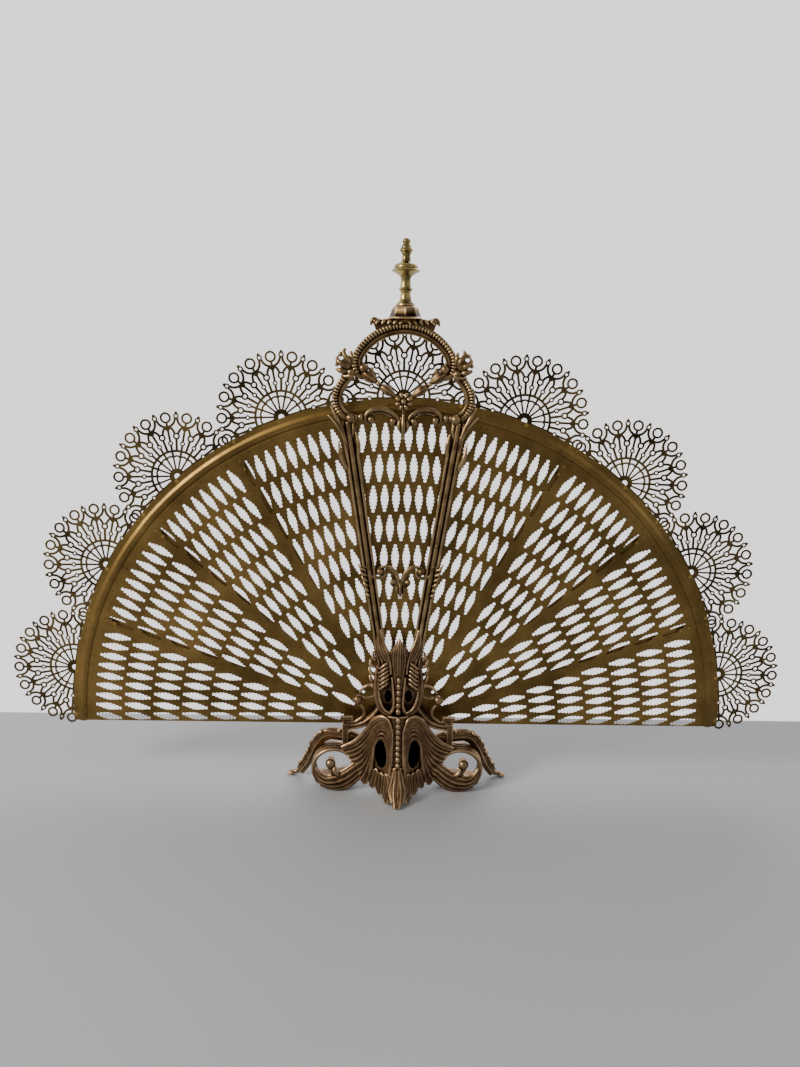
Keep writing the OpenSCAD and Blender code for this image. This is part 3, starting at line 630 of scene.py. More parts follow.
def pair(name, skin, material, node_name, sharp=30):
    """A casting for the right side, and its mirror image for the left."""
    for side in SIDES:
        piece(f"{name}_{side}", skin.copy(), material, "root", [f"{node_name}_{side}"],
              flip=side == "left", sharp=sharp)
    skin.free()


# ---------------------------------------------------------------- Arch handle
# The arch over the centre rosette is the carrying handle: a gadrooned roll, a smooth dark moulding inside,
# cast in one piece, whose ends curl inwards round a ball.
FRAME_Y = -9.4
FRAME = (0, FRAME_Y, 0)
ARCH_SIDE, ARCH_SIDE_R = (33, 450), 27
ARCH_TOP, ARCH_TOP_R, ARCH_JOIN, ARCH_END = (0, 428.75), 66.25, 32.8, -30
GADROON = 3.6


def arch_line(inset):
    """Centreline of half of the arch, from the middle of its top to its end, inset from the outer edge."""
    top = arc(ARCH_TOP, ARCH_TOP_R - inset, 90, ARCH_JOIN, 10)
    return top + arc(ARCH_SIDE, ARCH_SIDE_R - inset, ARCH_JOIN, ARCH_END, 8)[1:]


def gadrooned(line, y, radius, rise):
    """A roll along a flat line, with a round ridge every GADROON millimetres."""
    points, lengths = [], [0]
    for a, b in zip(line, line[1:]):
        lengths.append(lengths[-1] + math.dist(a, b))
    count = round(lengths[-1] / GADROON) * 6
    for i in range(count + 1):
        s = lengths[-1] * i / count
        k = max(j for j in range(len(lengths) - 1) if lengths[j] <= s)
        t = (s - lengths[k]) / (lengths[k + 1] - lengths[k])
        points.append((line[k][0] + (line[k + 1][0] - line[k][0]) * t,
                       line[k][1] + (line[k + 1][1] - line[k][1]) * t))
    curve = round_bar()
    spline = curve.splines.new("POLY")
    spline.points.add(count)
    for i, (knot, (x, z)) in enumerate(zip(spline.points, points)):
        knot.co = (x, y, z, 1)
        knot.radius = radius + rise * abs(math.sin(math.pi * i / 6))
    return curve_mesh(curve)


curl = arc((46, 444), 9.5, ARCH_END, -190, 8)
arch = [
    gadrooned(arch_line(3.6), FRAME_Y - 1, 2.7, 1.3),
    bars([
        (in_plane(arch_line(9.2), 1), (3.3, 3.3)),
        (in_plane(arch_line(12.2), -0.5), (1.2, 1.2)),
        (in_plane(arch_line(6), 3.2), (3.4, 3.4)),
        (in_plane(curl, -0.5), (3.6, 3.2, 2)),
    ], FRAME),
    lumps([((46, -2, 444), (5.4, 5.4, 5.4))], FRAME),
]
piece("arch_casting", fuse(arch, 0.55, both_sides=True), frame_patina_and_shade, "root",
      ["arch_handle"])

# ---------------------------------------------------------------- Lobes
# Below each end of the arch a gadrooned lobe swings out and back to a scroll ball on the lower bar.
# A cluster of small acanthus leaves covers its joint with the arch.
LOBE_TOP, LOBE_TOP_R = (34.75, 403.3), 48
LOBE, LOBE_R, LOBE_JOIN = (56, 409), 26, 15


def lobe_line(inset):
    """Centreline of a lobe, from under the leaves to its scroll ball, inset from the outer edge."""
    top = arc(LOBE_TOP, LOBE_TOP_R - inset, LOBE_JOIN + 40, LOBE_JOIN, 8)
    return top + arc(LOBE, LOBE_R - inset, LOBE_JOIN, -80, 10)[1:]


lobe_parts = [
    gadrooned(lobe_line(3.6)[:15], FRAME_Y - 1, 2.6, 1.2),
    bars([
        (in_plane(lobe_line(3.4)[14:], -0.8), (3.4, 3.4, 3)),
        (in_plane(lobe_line(9), 1), (3, 3.2, 2)),
        (in_plane(lobe_line(5.8), 3), (3.2, 3.4, 2.4)),
        ([(60, 0, 444), (63, -4, 453), (68, -3, 461), (66, -1, 466)], (3, 3.6, 2.6, 1.2)),
        ([(62, 0, 443), (69, -5, 448), (75, -3, 453), (75, 0, 457)], (3, 3.8, 2.6, 1.2)),
        ([(62, 0, 440), (70, -5, 441), (77, -3, 443)], (3, 3.6, 1.6)),
        ([(58, 0, 446), (59, -3, 456), (60, -1, 463)], (2.6, 3, 1.4)),
        ([(54, 0, 442), (60, -5, 436), (68, -4, 435)], (2.6, 3.2, 1.6)),
    ], FRAME),
    lumps([
        ((60, -1.5, 388), (6.2, 6, 6.2)),
        ((66, -3.5, 448), (6, 4, 7), 20),
        ((60, -4, 439), (4.6, 4, 4.6)),
        ((72, -3, 459), (2.8, 2.6, 2.8)),
        ((76, -3, 448), (2.6, 2.6, 2.6)),
    ], FRAME),
]
pair("lobe_casting", fuse(lobe_parts, 0.55), frame_patina_and_shade, "lobe")

# ---------------------------------------------------------------- Lower scroll bar
# Two C-scrolls meet in the middle over a drop leaf, and beads tie them to the lobes' scroll balls.
BAR_Z = 388
BAR = (0, FRAME_Y, BAR_Z)
c_scroll = [(35.5, -5.5), (41, -4), (43, 1.5), (39.5, 7.5), (31, 10.8), (21, 10.4), (12, 6.5), (6.6, -0.5),
            (8, -6.5), (13.5, -6.5)]
scroll_parts = [
    bars([
        (in_plane(c_scroll, -0.5), (1.4, 2.2, 2.9, 3, 2.9, 2.2, 1.4)),
        (in_plane([(38, 3), (30, 6.8), (21, 6.6), (13, 2)], 1.5), (1.2, 2, 2, 1.2)),
        ([(40, 0, 0.5), (56, 0, 1)], (2, 2)),
        ([(-4, 0, -2), (8, 0, -3)], (2.6, 2.4)),
        ([(2, 0, 2), (5, -2, -8), (2, 0, -17)], (2, 2.6, 0.8)),
        ([(0, -1, 5), (0, -3.5, -9), (0, 0, -23)], (2, 3, 0.7)),
    ], BAR),
    lumps([
        ((36.8, -1.5, -1), (4.3, 4.3, 4.3)),
        ((12, -1.5, -2.5), (4, 4, 4)),
        ((48.8, -1, 1.5), (3.5, 3.7, 4)),
        ((54, -1, 1.5), (2.4, 2.6, 3)),
    ], BAR),
]
piece("scroll_bar_casting", fuse(scroll_parts, 0.5, both_sides=True), frame_patina_and_shade, "root",
      ["lower_scroll_bar"])

# ---------------------------------------------------------------- Flower and husks
# An eight-petalled flower with a round knob. A string of ribbed buds climbs from it to each end of the arch.
FLOWER_Z = 408
flower = [((0, -3, FLOWER_Z), (6.5, 3.5, 6.5)), ((0, -7.2, FLOWER_Z), (3.3, 3, 3.3)),
          ((29, -2, 427.5), (3, 3.4, 3))]
for i in range(8):
    turn = 45 * i + 22.5
    x, z = polar(6.9, turn)
    flower.append(((x, -4.8, FLOWER_Z + z), (2.5, 2.6, 3.5), turn))


def husk(start, end, radius):
    """A bud of five ribs between two points of the string."""
    slope = math.atan2(end[1] - start[1], end[0] - start[0])
    lines = []
    for rib in range(-2, 3):
        around = math.radians(180 + 45 * rib)
        out, fore = radius * 0.62 * math.sin(around), radius * 0.62 * math.cos(around)
        middle = (start[0] * 0.45 + end[0] * 0.55 - out * math.sin(slope), fore,
                  start[1] * 0.45 + end[1] * 0.55 + out * math.cos(slope))
        lines.append(([(start[0], 0, start[1]), middle, (end[0], 0, end[1])], (0.9, radius * 0.5, 0.8)))
    return lines


husks = husk((8, 412.5), (29, 427), 5.2) + husk((28, 427), (50, 442.5), 6.2)
husks.append(([(4, 0, 409), (26, 0, 426), (46, 0, 442)], (1.6, 1.7, 1.6)))
husks.append(([(0, 0.5, FLOWER_Z), (0, 0.5, BAR_Z + 1)], (2.3, 2.3)))
flower_skin = fuse([bars(husks, FRAME), lumps(flower, FRAME)], 0.5, both_sides=True)
piece("flower_and_husk_casting", flower_skin, frame_patina_and_shade, "root", ["flower_and_husks"])

# ---------------------------------------------------------------- Canopy leaf
# A leafy canopy lies along the crown of the arch and carries the bell cap. Its ends curl up and forward.
CANOPY_Z = 495
CANOPY = (0, FRAME_Y, CANOPY_Z)
canopy_lines = [([(0, -2, 1.5), (16, -2, 1), (34, -1, -1)], (3.2, 3, 2.6)),
                ([(29, 0, 0), (35, -3, 2.5), (38.5, -3, -4)], (2.4, 2.8, 1.2))]
for i in range(5):
    x = 6.5 * i + 2
    canopy_lines.append(([(x, 0, 2), (x + 2, -5.5, 0.5), (x + 4.5, -7, -2.6)], (2.2, 2.4, 1)))
crown = arc(ARCH_TOP, ARCH_TOP_R - 2, 90, 60, 8)
canopy_parts = [
    slab([(0, CANOPY_Z + 1.5)] + crown + [(36, CANOPY_Z + 0.5)], FRAME_Y - 3.5, FRAME_Y + 3.5),
    bars(canopy_lines, CANOPY),
    lumps([((33, -3, 0.5), (3.6, 4, 3.4), 20), ((0, 0, 1.5), (17, 7, 3.6))], CANOPY),
]
piece("canopy_casting", fuse(canopy_parts, 0.5, both_sides=True), frame_patina_and_shade, "root",
      ["canopy_leaf"])

# ---------------------------------------------------------------- Bell cap and finial
# The cap is a small cast bell with eight soft lobes. The finial above it is turned from bar on a lathe:
# foot, collar, waist, broad flange, neck, ringed knob and top ball.
BELL_Z, FINIAL_Z = 498, 514
turned_brass, tree = new_material("turned_brass_lightly_tarnished")
where = add(tree, "ShaderNodeTexCoord")
rings = add(tree, "ShaderNodeMapping", {"Vector": where.outputs["Object"], "Scale": (20, 20, 2600)})
lathe_lines = add(tree, "ShaderNodeTexNoise", {"Vector": rings.outputs[0], "Scale": 1, "Detail": 2})
clouds = add(tree, "ShaderNodeTexNoise", {"Vector": where.outputs["Object"], "Scale": 70, "Detail": 4})
tint = add(tree, "ShaderNodeValToRGB", {"Fac": clouds.outputs[0]})
tint.color_ramp.elements[0].position = 0.35
tint.color_ramp.elements[0].color = linear("#5d5230")
tint.color_ramp.elements[1].position = 0.65
tint.color_ramp.elements[1].color = linear("#a99a62")
bump = add(tree, "ShaderNodeBump", {"Height": lathe_lines.outputs[0], "Strength": 0.12, "Distance": 0.0002})
brass = add(tree, "ShaderNodeBsdfPrincipled", {"Base Color": tint.outputs[0], "Metallic": 1,
                                               "Roughness": 0.30, "Normal": bump.outputs[0]})
add(tree, "ShaderNodeOutputMaterial", {"Surface": brass.outputs[0]})


def turned(profile, z, steps=64):
    """A profile of (radius, height) turned about the finial's axis."""
    bm = bmesh.new()
    line = [bm.verts.new((r, FRAME_Y, z + h)) for r, h in profile]
    edges = [bm.edges.new(ends) for ends in zip(line, line[1:])]
    bmesh.ops.spin(bm, geom=line + edges, cent=(0, FRAME_Y, 0), axis=(0, 0, 1), angle=math.tau, steps=steps,
                   use_merge=True, use_duplicate=False)
    bmesh.ops.remove_doubles(bm, verts=bm.verts, dist=0.001)
    bmesh.ops.recalc_face_normals(bm, faces=bm.faces)
    return bm


bell_profile = [(0, 0), (18.8, 0), (19.6, 0.6), (19.6, 1.4), (18.4, 2.2), (17.6, 3.4), (16.4, 6), (15.6, 9),
                (14.9, 11.4), (13.8, 13), (12, 14), (10.8, 14.6), (10.4, 16), (0, 16)]
bell = turned(bell_profile, BELL_Z, 96)
for v in bell.verts:
    x, y, h = v.co.x, v.co.y - FRAME_Y, v.co.z - BELL_Z
    share = min(max(h - 1.4, 0) / 2, 1) * min(max(15 - h, 0) / 2, 1)
    around = (math.atan2(y, x) + math.pi / 2) % (math.pi / 4) - math.pi / 8
    flat = 1 + share * (math.cos(math.pi / 8) / math.cos(around) - 1)
    v.co.x, v.co.y = x * flat, FRAME_Y + y * flat
piece("bell_cap_cast", bell, frame_patina_and_shade, "root", ["bell_cap"], sharp=22)

finial_profile = [
    (0, 0), (10, 0), (10.2, 0.6), (9.8, 1.4), (8.2, 2.2), (7.9, 3), (6.9, 3.9), (6.2, 6), (5.7, 9), (5.5, 12),
    (5.7, 12.9), (6.5, 13.5), (6.6, 14.6), (6.1, 15), (7.8, 15.6), (8.1, 16.3), (7.6, 17), (6.4, 17.6),
    (5.9, 19), (5.4, 22), (5.3, 25.5), (5.7, 28), (6.8, 30), (9.2, 31.8), (12.2, 33.4), (15, 34.8),
    (15.6, 35.6), (15.2, 36.5), (13.4, 37.4), (12.8, 38), (13.1, 39.4), (12.6, 41), (11.2, 42.4),
    (8.6, 43.4), (6.4, 44.6), (5, 46.2), (4.5, 49), (4.4, 51.6), (5, 52.8), (5.4, 53.6), (5.3, 54.4),
    (6.4, 55.2), (7.3, 56.4), (7.2, 57.6), (6.3, 58.8), (5.6, 59.6), (5.6, 60.6), (5, 61.6), (4.2, 62.6),
    (3.8, 63.6), (3.8, 64.2), (4.4, 65.4), (4.4, 66.8), (3.8, 68.2), (2.4, 69.4), (1, 69.9), (0, 70)]
piece("turned_finial", turned(finial_profile, FINIAL_Z), turned_brass, "root", ["finial"],
      sharp=40)

# ---------------------------------------------------------------- Uprights
# Two moulded bars rise from the mask to the lobes: a round rib between two thinner rims, cast in one,
# with an acanthus sprig at the crossbar and another outside the top.
UP_FOOT, UP_TAN = 6.5, math.tan(math.radians(8.45))
UP_LOW, UP_HIGH = 102, 384


def upright_x(z):
    """How far out an upright's middle is at a height."""
    return UP_FOOT + z * UP_TAN


def along_upright(offset, y):
    """Points up an upright, at an offset that grows with its width."""
    shares = [i / 6 for i in range(7)]
    heights = [UP_LOW + (UP_HIGH - UP_LOW) * share for share in shares]
    return [(upright_x(z) + offset * (0.85 + 0.15 * share), y, z) for z, share in zip(heights, shares)]


upright_lines = [
    (along_upright(0, -1.2), (2.5, 3.2)),
    (along_upright(6.2, -0.6), (1.6, 1.9)),
    (along_upright(-6.2, -0.6), (1.6, 1.9)),
    (along_upright(3.6, 2.6), (2.4, 2.6)),
    (along_upright(-3.6, 2.6), (2.4, 2.6)),
    ([(64, 0, 330), (71, -3, 345), (74, -2, 362)], (2, 2.8, 1)),
    ([(52, 0, 345), (51, -3, 358), (54, -2, 372)], (2, 2.8, 1.2)),
    ([(62, 0, 352), (69, -1, 372), (77, -1, 390), (83, 0, 402)], (2, 3, 3, 1)),
    ([(66, 0, 366), (75, -2, 380), (86, -1, 391)], (2, 2.6, 0.9)),
    ([(60, 0, 360), (57, -2, 374), (58, -1, 386)], (1.2, 2, 1.4)),
]
for i in range(6):
    z = 213 - 6.5 * i
    x = upright_x(z) + 3
    upright_lines.append(([(x - 1, 0, z - 5), (x + 6 - 0.7 * i, -2.5, z - 2),
                           (x + 10 - 1.4 * i, -1, z + 4 - i)], (1.3, 1.9, 0.8)))
pair("upright_casting", fuse([bars(upright_lines, FRAME)], 0.6), frame_patina_and_shade, "upright")

# ---------------------------------------------------------------- Crossbar
# Half way up, two S-scrolls dip from the uprights to a small drop leaf, rolled round a ball at both ends.
CROSSBAR = (0, FRAME_Y, 207)
cross_lines = [
    (in_plane([(42, 6), (38.5, 3), (36, -4), (29, -8), (21, -6), (19.5, 1), (24, 5)], 0),
     (1.3, 2, 2.4, 2.4, 2, 1.6, 1.2)),
    (in_plane([(25, 4.5), (18, 6), (8, 1.5), (3, -8), (2.5, -15), (8, -17.5), (12, -14)], -0.6),
     (1.4, 2.1, 2.4, 2.4, 2, 1.6, 1.2)),
    ([(0, 0, -12), (0, -2.5, -22), (0, 0, -34)], (2.4, 2.6, 0.7)),
    ([(1.5, 0, -15), (4, -1.5, -21), (2, 0, -29)], (1.6, 2, 0.7)),
]
cross_balls = [((24.5, -1, 0), (4.6, 4.6, 4.6)), ((9, -1, -13), (3.5, 3.6, 3.5))]
cross_skin = fuse([bars(cross_lines, CROSSBAR), lumps(cross_balls, CROSSBAR)], 0.5, both_sides=True)
piece("crossbar_casting", cross_skin, frame_patina_and_shade, "root", ["mid_crossbar"])

# ---------------------------------------------------------------- Mask piece
# Two rolled acanthus leaves lie back over dark eye hollows, and their tips run up to the uprights' feet.
# A fluted plume rises between them, with a string of beads in front of it.
EYE_X, EYE_Z, EYE_FLOOR_Y = 12.6, 48, -10


def blend(keys, count):
    """A family of lines between key lines that have the same number of points."""
    lines = []
    for i in range(count):
        share = i / (count - 1) * (len(keys) - 1)
        k = min(int(share), len(keys) - 2)
        lines.append([tuple(p + (q - p) * (share - k) for p, q in zip(a, b))
                      for a, b in zip(keys[k], keys[k + 1])])
    return lines


mask_lines = []
for line in blend([[(1, -20, 60), (1.2, -22, 78), (1, -24, 100), (0.8, -25, 118), (0, -22, 129)],
                   [(3.4, -20, 58), (4.6, -21, 78), (6.4, -22, 98), (5.4, -23, 113), (2.4, -21, 122)],
                   [(5.4, -18, 60), (7.4, -18, 80), (10.4, -18, 100), (9.8, -19, 109), (7, -18, 115)]], 5):
    mask_lines.append((line, (1.3, 1.6, 2, 2, 0.8)))
cheek = [(23, -10, 94), (26.5, -12, 78), (27, -15, 60), (25, -18, 44), (19, -21, 33), (12, -23, 30),
         (6.8, -24, 36), (5.6, -24, 48), (6.6, -22, 62), (8, -20, 76)]
mask_lines.append((cheek, (2, 3.4, 4.2, 4.4, 3.6, 3, 2, 1.6, 1.6, 1.4)))
mask_lines.append(([(x * 0.96 - 1.5, y - 3, z + 2) for x, y, z in cheek[1:6]], (1.2, 1.8, 2, 1.8, 1)))
for i in range(6):
    z = 60 + 5.4 * i
    mask_lines.append(([(25.5, -13, z - 3), (22, -20, z + 1), (16, -21, z + 6.5), (10.5, -17, z + 9)],
                       (1.2, 1.8, 1.7, 0.9)))
for line in blend([[(23.5, -11, 134), (19.5, -14, 118), (14, -18, 106), (10.6, -20, 94), (9.6, -20, 80)],
                   [(25.5, -10, 134), (24.5, -13, 118), (20.5, -16, 106), (16.5, -18, 98), (13, -18, 90)],
                   [(27, -9, 128), (27.5, -11, 116), (26.5, -12, 104), (25, -12, 96), (24, -12, 86)]], 5):
    mask_lines.append((line, (1.2, 2.4, 2.8, 2.2, 1.3)))
for z, reach in ((100, 5), (91, 8), (81, 9), (71, 8), (62, 5)):
    mask_lines.append(([(25, -8, z - 4), (27 + reach * 0.6, -11, z - 4), (27 + reach, -9, z + 2),
                        (25 + reach, -7, z + 5)], (2, 2.4, 1.9, 0.9)))
mask_back = slab([(0, 26), (20, 27), (26, 40), (27, 92), (22, 112), (12, 100), (8, 108), (0, 116)], -12, -5)
mask_lumps = [((0, -25.5, 74 - 8.2 * i), (2.8 + 0.1 * i, 3.2, 4.2)) for i in range(6)]
mask_lumps.append(((16.5, -10, 76), (8, 7, 20)))
mask_skin = fuse([mask_back, bars(mask_lines), lumps(mask_lumps)], 0.62, both_sides=True)
around = [math.radians(15 * k) for k in range(24)]
eyes = [[(sign * EYE_X + 5 * math.cos(a), EYE_Z + 8.6 * math.sin(a)) for a in around] for sign in (-1, 1)]
mask_skin = combine(mask_skin, [slab(eye, -50, EYE_FLOOR_Y) for eye in eyes], "DIFFERENCE")
piece("mask_casting", mask_skin, base_patina_and_shade, "root", ["mask_piece"], sharp=60)

# ---------------------------------------------------------------- Skirt of the base
# A hollow acanthus flares from the mask to the toe. Grooved strands run round two tear-shaped openings
# and fan out to the volutes, beads run down the front, and ribbed leaflets make the scalloped hem.
FLOOR_Z = -PIVOT.z / MM
TEAR_X, TEAR_Z, TEAR_R, TEAR_H = 20.6, -26, 7.4, 18.5


def skirt_y(x, z):
    """Depth of the skirt's front: it swells to the middle and flares forward near the floor."""
    low = min(max((-z - 10) / 70, 0), 1)
    return -(12 + 20 * math.exp(-(x / 30) ** 2)) - 28 * low ** 2 * math.exp(-(x / 22) ** 2)


def on_skirt(points, lift):
    """Flat points laid on the skirt's front, a little proud of it."""
    return [(x, skirt_y(x, z) - lift, z) for x, z in points]


STRANDS = [[(6, -2), (7.4, 14), (15, 27), (29, 22), (41, 3), (54, -12), (71, -21)],
           [(6, -8), (8, 11), (15.6, 24), (28.8, 17.6), (39.4, -1), (52.6, -16), (70, -24)],
           [(6, -14), (8.6, 6), (16.2, 20.5), (28.2, 11.6), (37.2, -7.6), (50, -22), (67, -29)],
           [(6, -18), (9, 4), (16.4, 18.5), (27.9, 8.4), (36, -11), (47, -28), (63, -37)],
           [(6, -24), (9.6, 1), (17, 15.5), (27.7, 3.6), (34.6, -16), (45, -36), (59, -45)],
           [(6.4, -34), (10.2, -4), (17.8, 11), (27.6, -1.4), (33.2, -20), (42, -43), (55, -56)],
           [(8, -46), (11.4, -11), (18.6, 3), (27.6, -8), (31.2, -26), (37, -50), (45, -68)],
           [(10, -54), (12, -18), (20.4, -4), (28, -13), (30.2, -30), (32, -52), (34, -71)]]
skirt_lines = [(on_skirt(line, 0.4 + 0.8 * (i % 2)), (1, 1.1, 1.2, 1.5, 1.8, 2.1, 1.1))
               for i, line in enumerate(blend(STRANDS, 19))]
HEM_LEAVES = [((13.5, -45), (13.5, -64), (13.5, -78.5), 5), ((19.5, -46), (21, -62), (22.5, -75), 5),
              ((26, -44), (29, -60), (31.5, -72.5), 4.4), ((36, -48), (39.5, -62), (42, -71), 3.6)]
for (x0, z0), (x1, z1), (x2, z2), half in HEM_LEAVES:
    for j in range(-2, 3):
        rib = [(x0 + 1.1 * j, z0 - 0.6 * j * j), (x1 + half * 0.45 * j, z1),
               (x2 + half * 0.3 * j, z2 + 0.6 * j * j)]
        skirt_lines.append((on_skirt(rib, 0.5 + 0.7 * (j % 2)), (1, 1.5, 1.2)))
for j in range(5):
    rib = [(1.4 + 0.7 * j, -36), (1.2 + 1.7 * j, -50), (1.4 + 2.7 * j, -64),
           (0.8 + 1.9 * j, -78.6 + 0.5 * j * j)]
    skirt_lines.append((on_skirt(rib, 1 + 0.9 * (j % 2)), (1, 1.3, 1.7, 1.3)))
EDGE = [(30, 18), (20, 32), (3, 40), (-11, 47), (-30, 52), (-50, 48), (-66, 42), (-84, 34)]


def half_width(z):
    """Half of the width of the skirt's shell at a height."""
    for (top, wide), (low, wider) in zip(EDGE, EDGE[1:]):
        if z >= low:
            return wide + (wider - wide) * min(max((top - z) / (top - low), 0), 1)
    return EDGE[-1][1]


def skirt_shell():
    """The plain shell behind the strands, drawn as rows and columns of faces."""
    bm = bmesh.new()
    bmesh.ops.create_grid(bm, x_segments=44, y_segments=44, size=1)
    for v in bm.verts:
        t = (1 - v.co.y) / 2
        hem = -67 - 8 * math.exp(-(v.co.x * 50 / 16) ** 2)
        z = 28 + (hem - 28) * t
        x = v.co.x * half_width(z)
        v.co = (x, skirt_y(x, z) + 2, z)
    return thicken(bm, 3)


def on_floor(bm):
    """Cuts off what hangs below the floor."""
    low, high = FLOOR_Z - 40, FLOOR_Z + 0.05
    below = slab([(-200, low), (200, low), (200, high), (-200, high)], -120, 120)
    return combine(bm, [below], "DIFFERENCE")


# A black, dull sheet inside the skirt behind its tear-shaped openings: painted shade, so that the openings
# look as dark as the shaded hollow behind them.
painted_shade_black, tree = new_material("black_painted_shade")
shade_black_bsdf = add(tree, "ShaderNodeBsdfPrincipled", {"Base Color": linear("#120d09"), "Metallic": 1,
                                              "Roughness": 0.8})
add(tree, "ShaderNodeOutputMaterial", {"Surface": shade_black_bsdf.outputs[0]})
# This sheet stands only for the shade inside the skirt's hollow.
shade_sheet = slab([(-34, 14), (-42, -18), (-36, -60), (36, -60), (42, -18), (34, 14), (18, 25), (-18, 25)], -5, -2)
piece("acanthus_foot_shade_sheet", shade_sheet, painted_shade_black, "root", ["acanthus_foot"])

beads = []
for z in [25 - 7.4 * i for i in range(9)]:
    beads.append(((0, skirt_y(0, z) - 1.2, z), (2.9, 3, 4.1)))
half = fuse([bars(skirt_lines)], 0.7, smooth=0)
skirt_skin = fuse([skirt_shell(), half, mirrored(half), lumps(beads)], 0.75)
tears = []
for sign in (-1, 1):
    tears.append([(sign * (TEAR_X + TEAR_R * math.cos(a)),
                   TEAR_Z + TEAR_H * math.sin(a) - 1.5 * math.cos(2 * a)) for a in around])
skirt_skin = on_floor(combine(skirt_skin, [slab(tear, -90, -6) for tear in tears], "DIFFERENCE"))
piece("acanthus_foot_casting", skirt_skin, base_patina_and_shade, "root", ["acanthus_foot"],
      sharp=60)

# ---------------------------------------------------------------- Volutes
# A ribbed strap rolls up from the floor beside the skirt and closes like a fern head, with a ball inside it.
# A broad leaf with a scalloped edge sweeps out of the skirt over the bottom of the roll.
VOLUTE = (80, -51.4)
volute_lines = []
for y, r in ((-12, 26), (-7.4, 26.4), (-2.6, 26.4), (2.2, 26.4), (6.8, 26)):
    volute_lines.append((in_plane(arc(VOLUTE, r, -115, 172, 18), y), (2.4, 2.6, 2.5, 2.2, 1.6)))
for i, line in enumerate(blend([[(38, -30), (54, -43), (68, -53), (80, -58.5), (93, -60), (103, -50)],
                                [(38, -44), (54, -57), (67, -66), (79, -70), (94, -68), (105, -56)],
                                [(38, -56), (51, -68), (65, -76.5), (78, -78.6), (93, -74), (104, -63)]], 9)):
    bulge = 2.5 * math.sin(math.pi * i / 8)
    depths = (-7, -13 - bulge, -15 - bulge, -15 - bulge, -14 - bulge, -12.5)
    volute_lines.append(([(x, y - 0.8 * (i % 2), z) for (x, z), y in zip(line, depths)],
                         (1.4, 2.2, 2.3, 2.1, 1.3)))
volute_lines += [
    ([(74, -13, -62), (80, -14, -56), (85, -12, -48)], (3.4, 3.6, 4)),
    ([(70, -15, -58), (76, -18, -55), (79, -17, -50), (76, -15, -47)], (2, 2.8, 2.4, 1.4)),
]
volute_parts = [
    bars(volute_lines),
    lumps([
        ((84, -11, -45), (6.6, 6.6, 6.6)),
        ((84, -4, -45), (5, 9, 5)),
        ((101, -13, -68), (3, 3, 3.4), 40),
        ((94, -14, -73.5), (3.4, 3, 3), 20),
        ((85.5, -14.5, -76.6), (3.6, 3, 2.8)),
        ((76, -15, -77), (3.6, 3, 2.6)),
    ]),
    slab([(50, -62), (66, -58), (82, -62), (98, -62), (100, -68), (84, -79), (66, -78), (52, -69)], -13, 6),
]
pair("volute_casting", on_floor(fuse(volute_parts, 0.75)), base_patina_and_shade, "volute", sharp=60)

# ---------------------------------------------------------------- Tail feet
# Behind each volute a knobby leaf arches back and out to a small foot, and the screen stands on five points.
tail_run = [(44, 5, -23), (60, 4, -15), (76, 4, -12), (91, 6, -13), (102, 10, -25), (110, 14, -42),
            (118, 18, -59), (127, 22, -73), (138, 24, -77.6)]
tail_lines = [(tail_run, (8, 8.2, 8, 7.6, 6.6, 5.4, 4.6, 3.6, 2.4))]
for share in (-1, -0.5, 0, 0.5, 1):
    rib = [(x + 3.5 * share, y - 5.2 + 2.4 * abs(share), z + 4.5 * share) for x, y, z in tail_run[:8]]
    tail_lines.append((rib, (2.2, 2.8, 2.9, 2.8, 2.4, 2, 1.6, 1)))
tail_knobs = [((138, 23, -77.4), (5, 4.6, 2.6))]
for i in range(9):
    t = 1.2 + i * 0.66
    k = min(int(t), 7)
    p = Vector(tail_run[k]).lerp(Vector(tail_run[k + 1]), t - k)
    near = min(1, 1.25 - 0.05 * i)
    centre = (p.x + 4.4 * near * (k > 2), p.y - 4.5 + (i % 3) * 1.6, p.z + 6.6 * near)
    tail_knobs.append((centre, (3.6, 3.4, 2.8), 20 + 8 * i))
tail_skin = on_floor(fuse([bars(tail_lines), lumps(tail_knobs)], 0.75))
pair("tail_foot_casting", tail_skin, base_patina_and_shade, "tail_foot", sharp=60)

# ---------------------------------------------------------------- Rest brackets
# A moulded arm runs from the mask to a square post with a broad pad on top, and a C-scroll stands over it.
BRACKET_Y = -7
BRACKET = (0, BRACKET_Y, 0)
bracket_lines = [
    (in_plane([(22, 34), (29, 23), (38, 14), (48, 9), (58, 7), (66, 7)], -2.4), (2.6, 2.8, 2.7, 2.4, 2.2, 2)),
    (in_plane([(24, 27), (30, 17.5), (38, 9), (48, 4.4), (58, 2.6), (66, 2.6)], -2.4),
     (2, 2.2, 2, 1.8, 1.7, 1.6)),
    (in_plane([(49, 36), (44, 31), (42, 25), (43.5, 19), (50, 13.5), (56, 10)], -1.6),
     (1.6, 2.2, 2.4, 2.4, 2.2, 1.8)),
    (in_plane([(26, 48), (34, 45), (45, 43.5)], -2), (2.4, 2.2, 2)),
    (in_plane([(30, 56), (36, 60), (44, 56), (48, 50)], -1), (1.6, 2, 2, 1.4)),
]
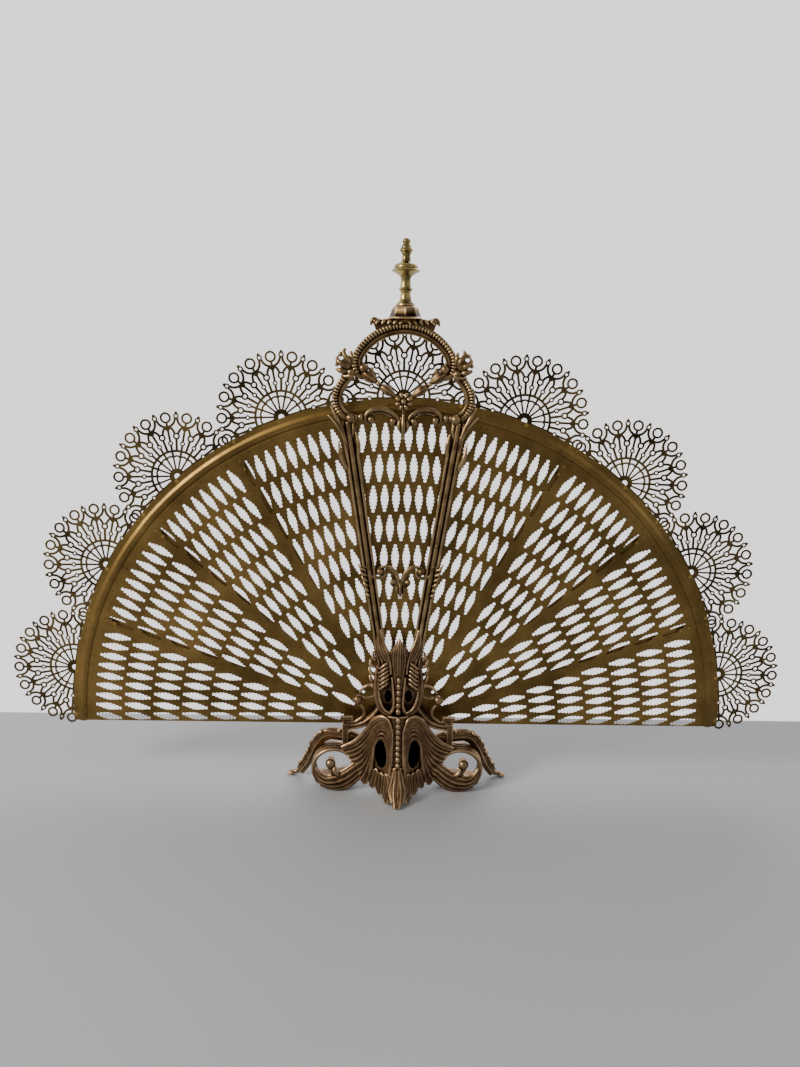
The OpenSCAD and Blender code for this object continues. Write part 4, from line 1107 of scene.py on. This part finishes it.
bracket_parts = [
    slab([(62, -28), (69, -28), (69.5, 9), (62, 9)], BRACKET_Y - 4.5, BRACKET_Y + 1.6),
    slab([(56, 14.5), (71.5, 14.5), (71.5, 19), (56, 19)], BRACKET_Y - 4.5, BRACKET_Y + 1),
    slab([(60, 4), (68.5, 4), (68.5, 16), (60, 16)], BRACKET_Y - 3.6, BRACKET_Y + 1),
    slab([(22, 30), (32, 18), (44, 8), (66, 3), (66, 7), (44, 13), (32, 24), (22, 38)], BRACKET_Y - 2.4,
         BRACKET_Y + 2.4),
    bars(bracket_lines, BRACKET),
    lumps([((50, -2, 41.5), (6, 6, 6)), ((57, -1, 12), (2.6, 2.6, 2.6))], BRACKET),
]
bracket_skin = fuse(bracket_parts, 0.6)
pair("rest_bracket_casting", bracket_skin, base_patina_and_shade, "rest_bracket", sharp=60)

# ---------------------------------------------------------------- Yoke, stud and fixings
# Behind the leaves a plain cast yoke, held by two steel screws, carries the steel stud and its brass nut.
# The yoke's darker hollows and lighter ridges are partly patina and wear, partly painted shade and painted
# highlight.
yoke_brass = patina_and_painted_shade("sand_cast_brass_unpolished_painted_shade", "#231a0e", "#5c4a2c", "#8d7546", 0.45)
finish_node("rear_yoke", yoke_brass)
finish_node("pivot_nut", turned_brass)
# Bright drawn steel, plain, with slow cloudy changes of tone where it has begun to dull.
steel, tree = new_material("plain_bright_steel")
where = add(tree, "ShaderNodeTexCoord")
clouds = add(tree, "ShaderNodeTexNoise", {"Vector": where.outputs["Object"], "Scale": 200, "Detail": 3})
tint = add(tree, "ShaderNodeMix", {"Factor": clouds.outputs[0], 6: linear("#6f6c68"), 7: linear("#a3a09b")},
           data_type="RGBA")
shine = add(tree, "ShaderNodeBsdfPrincipled", {"Base Color": tint.outputs[2], "Metallic": 1,
                                               "Roughness": 0.38})
add(tree, "ShaderNodeOutputMaterial", {"Surface": shine.outputs[0]})
for node_name in ("pivot_stud", "yoke_screws", "finial_rod", "spacer_washers"):
    finish_node(node_name, steel)
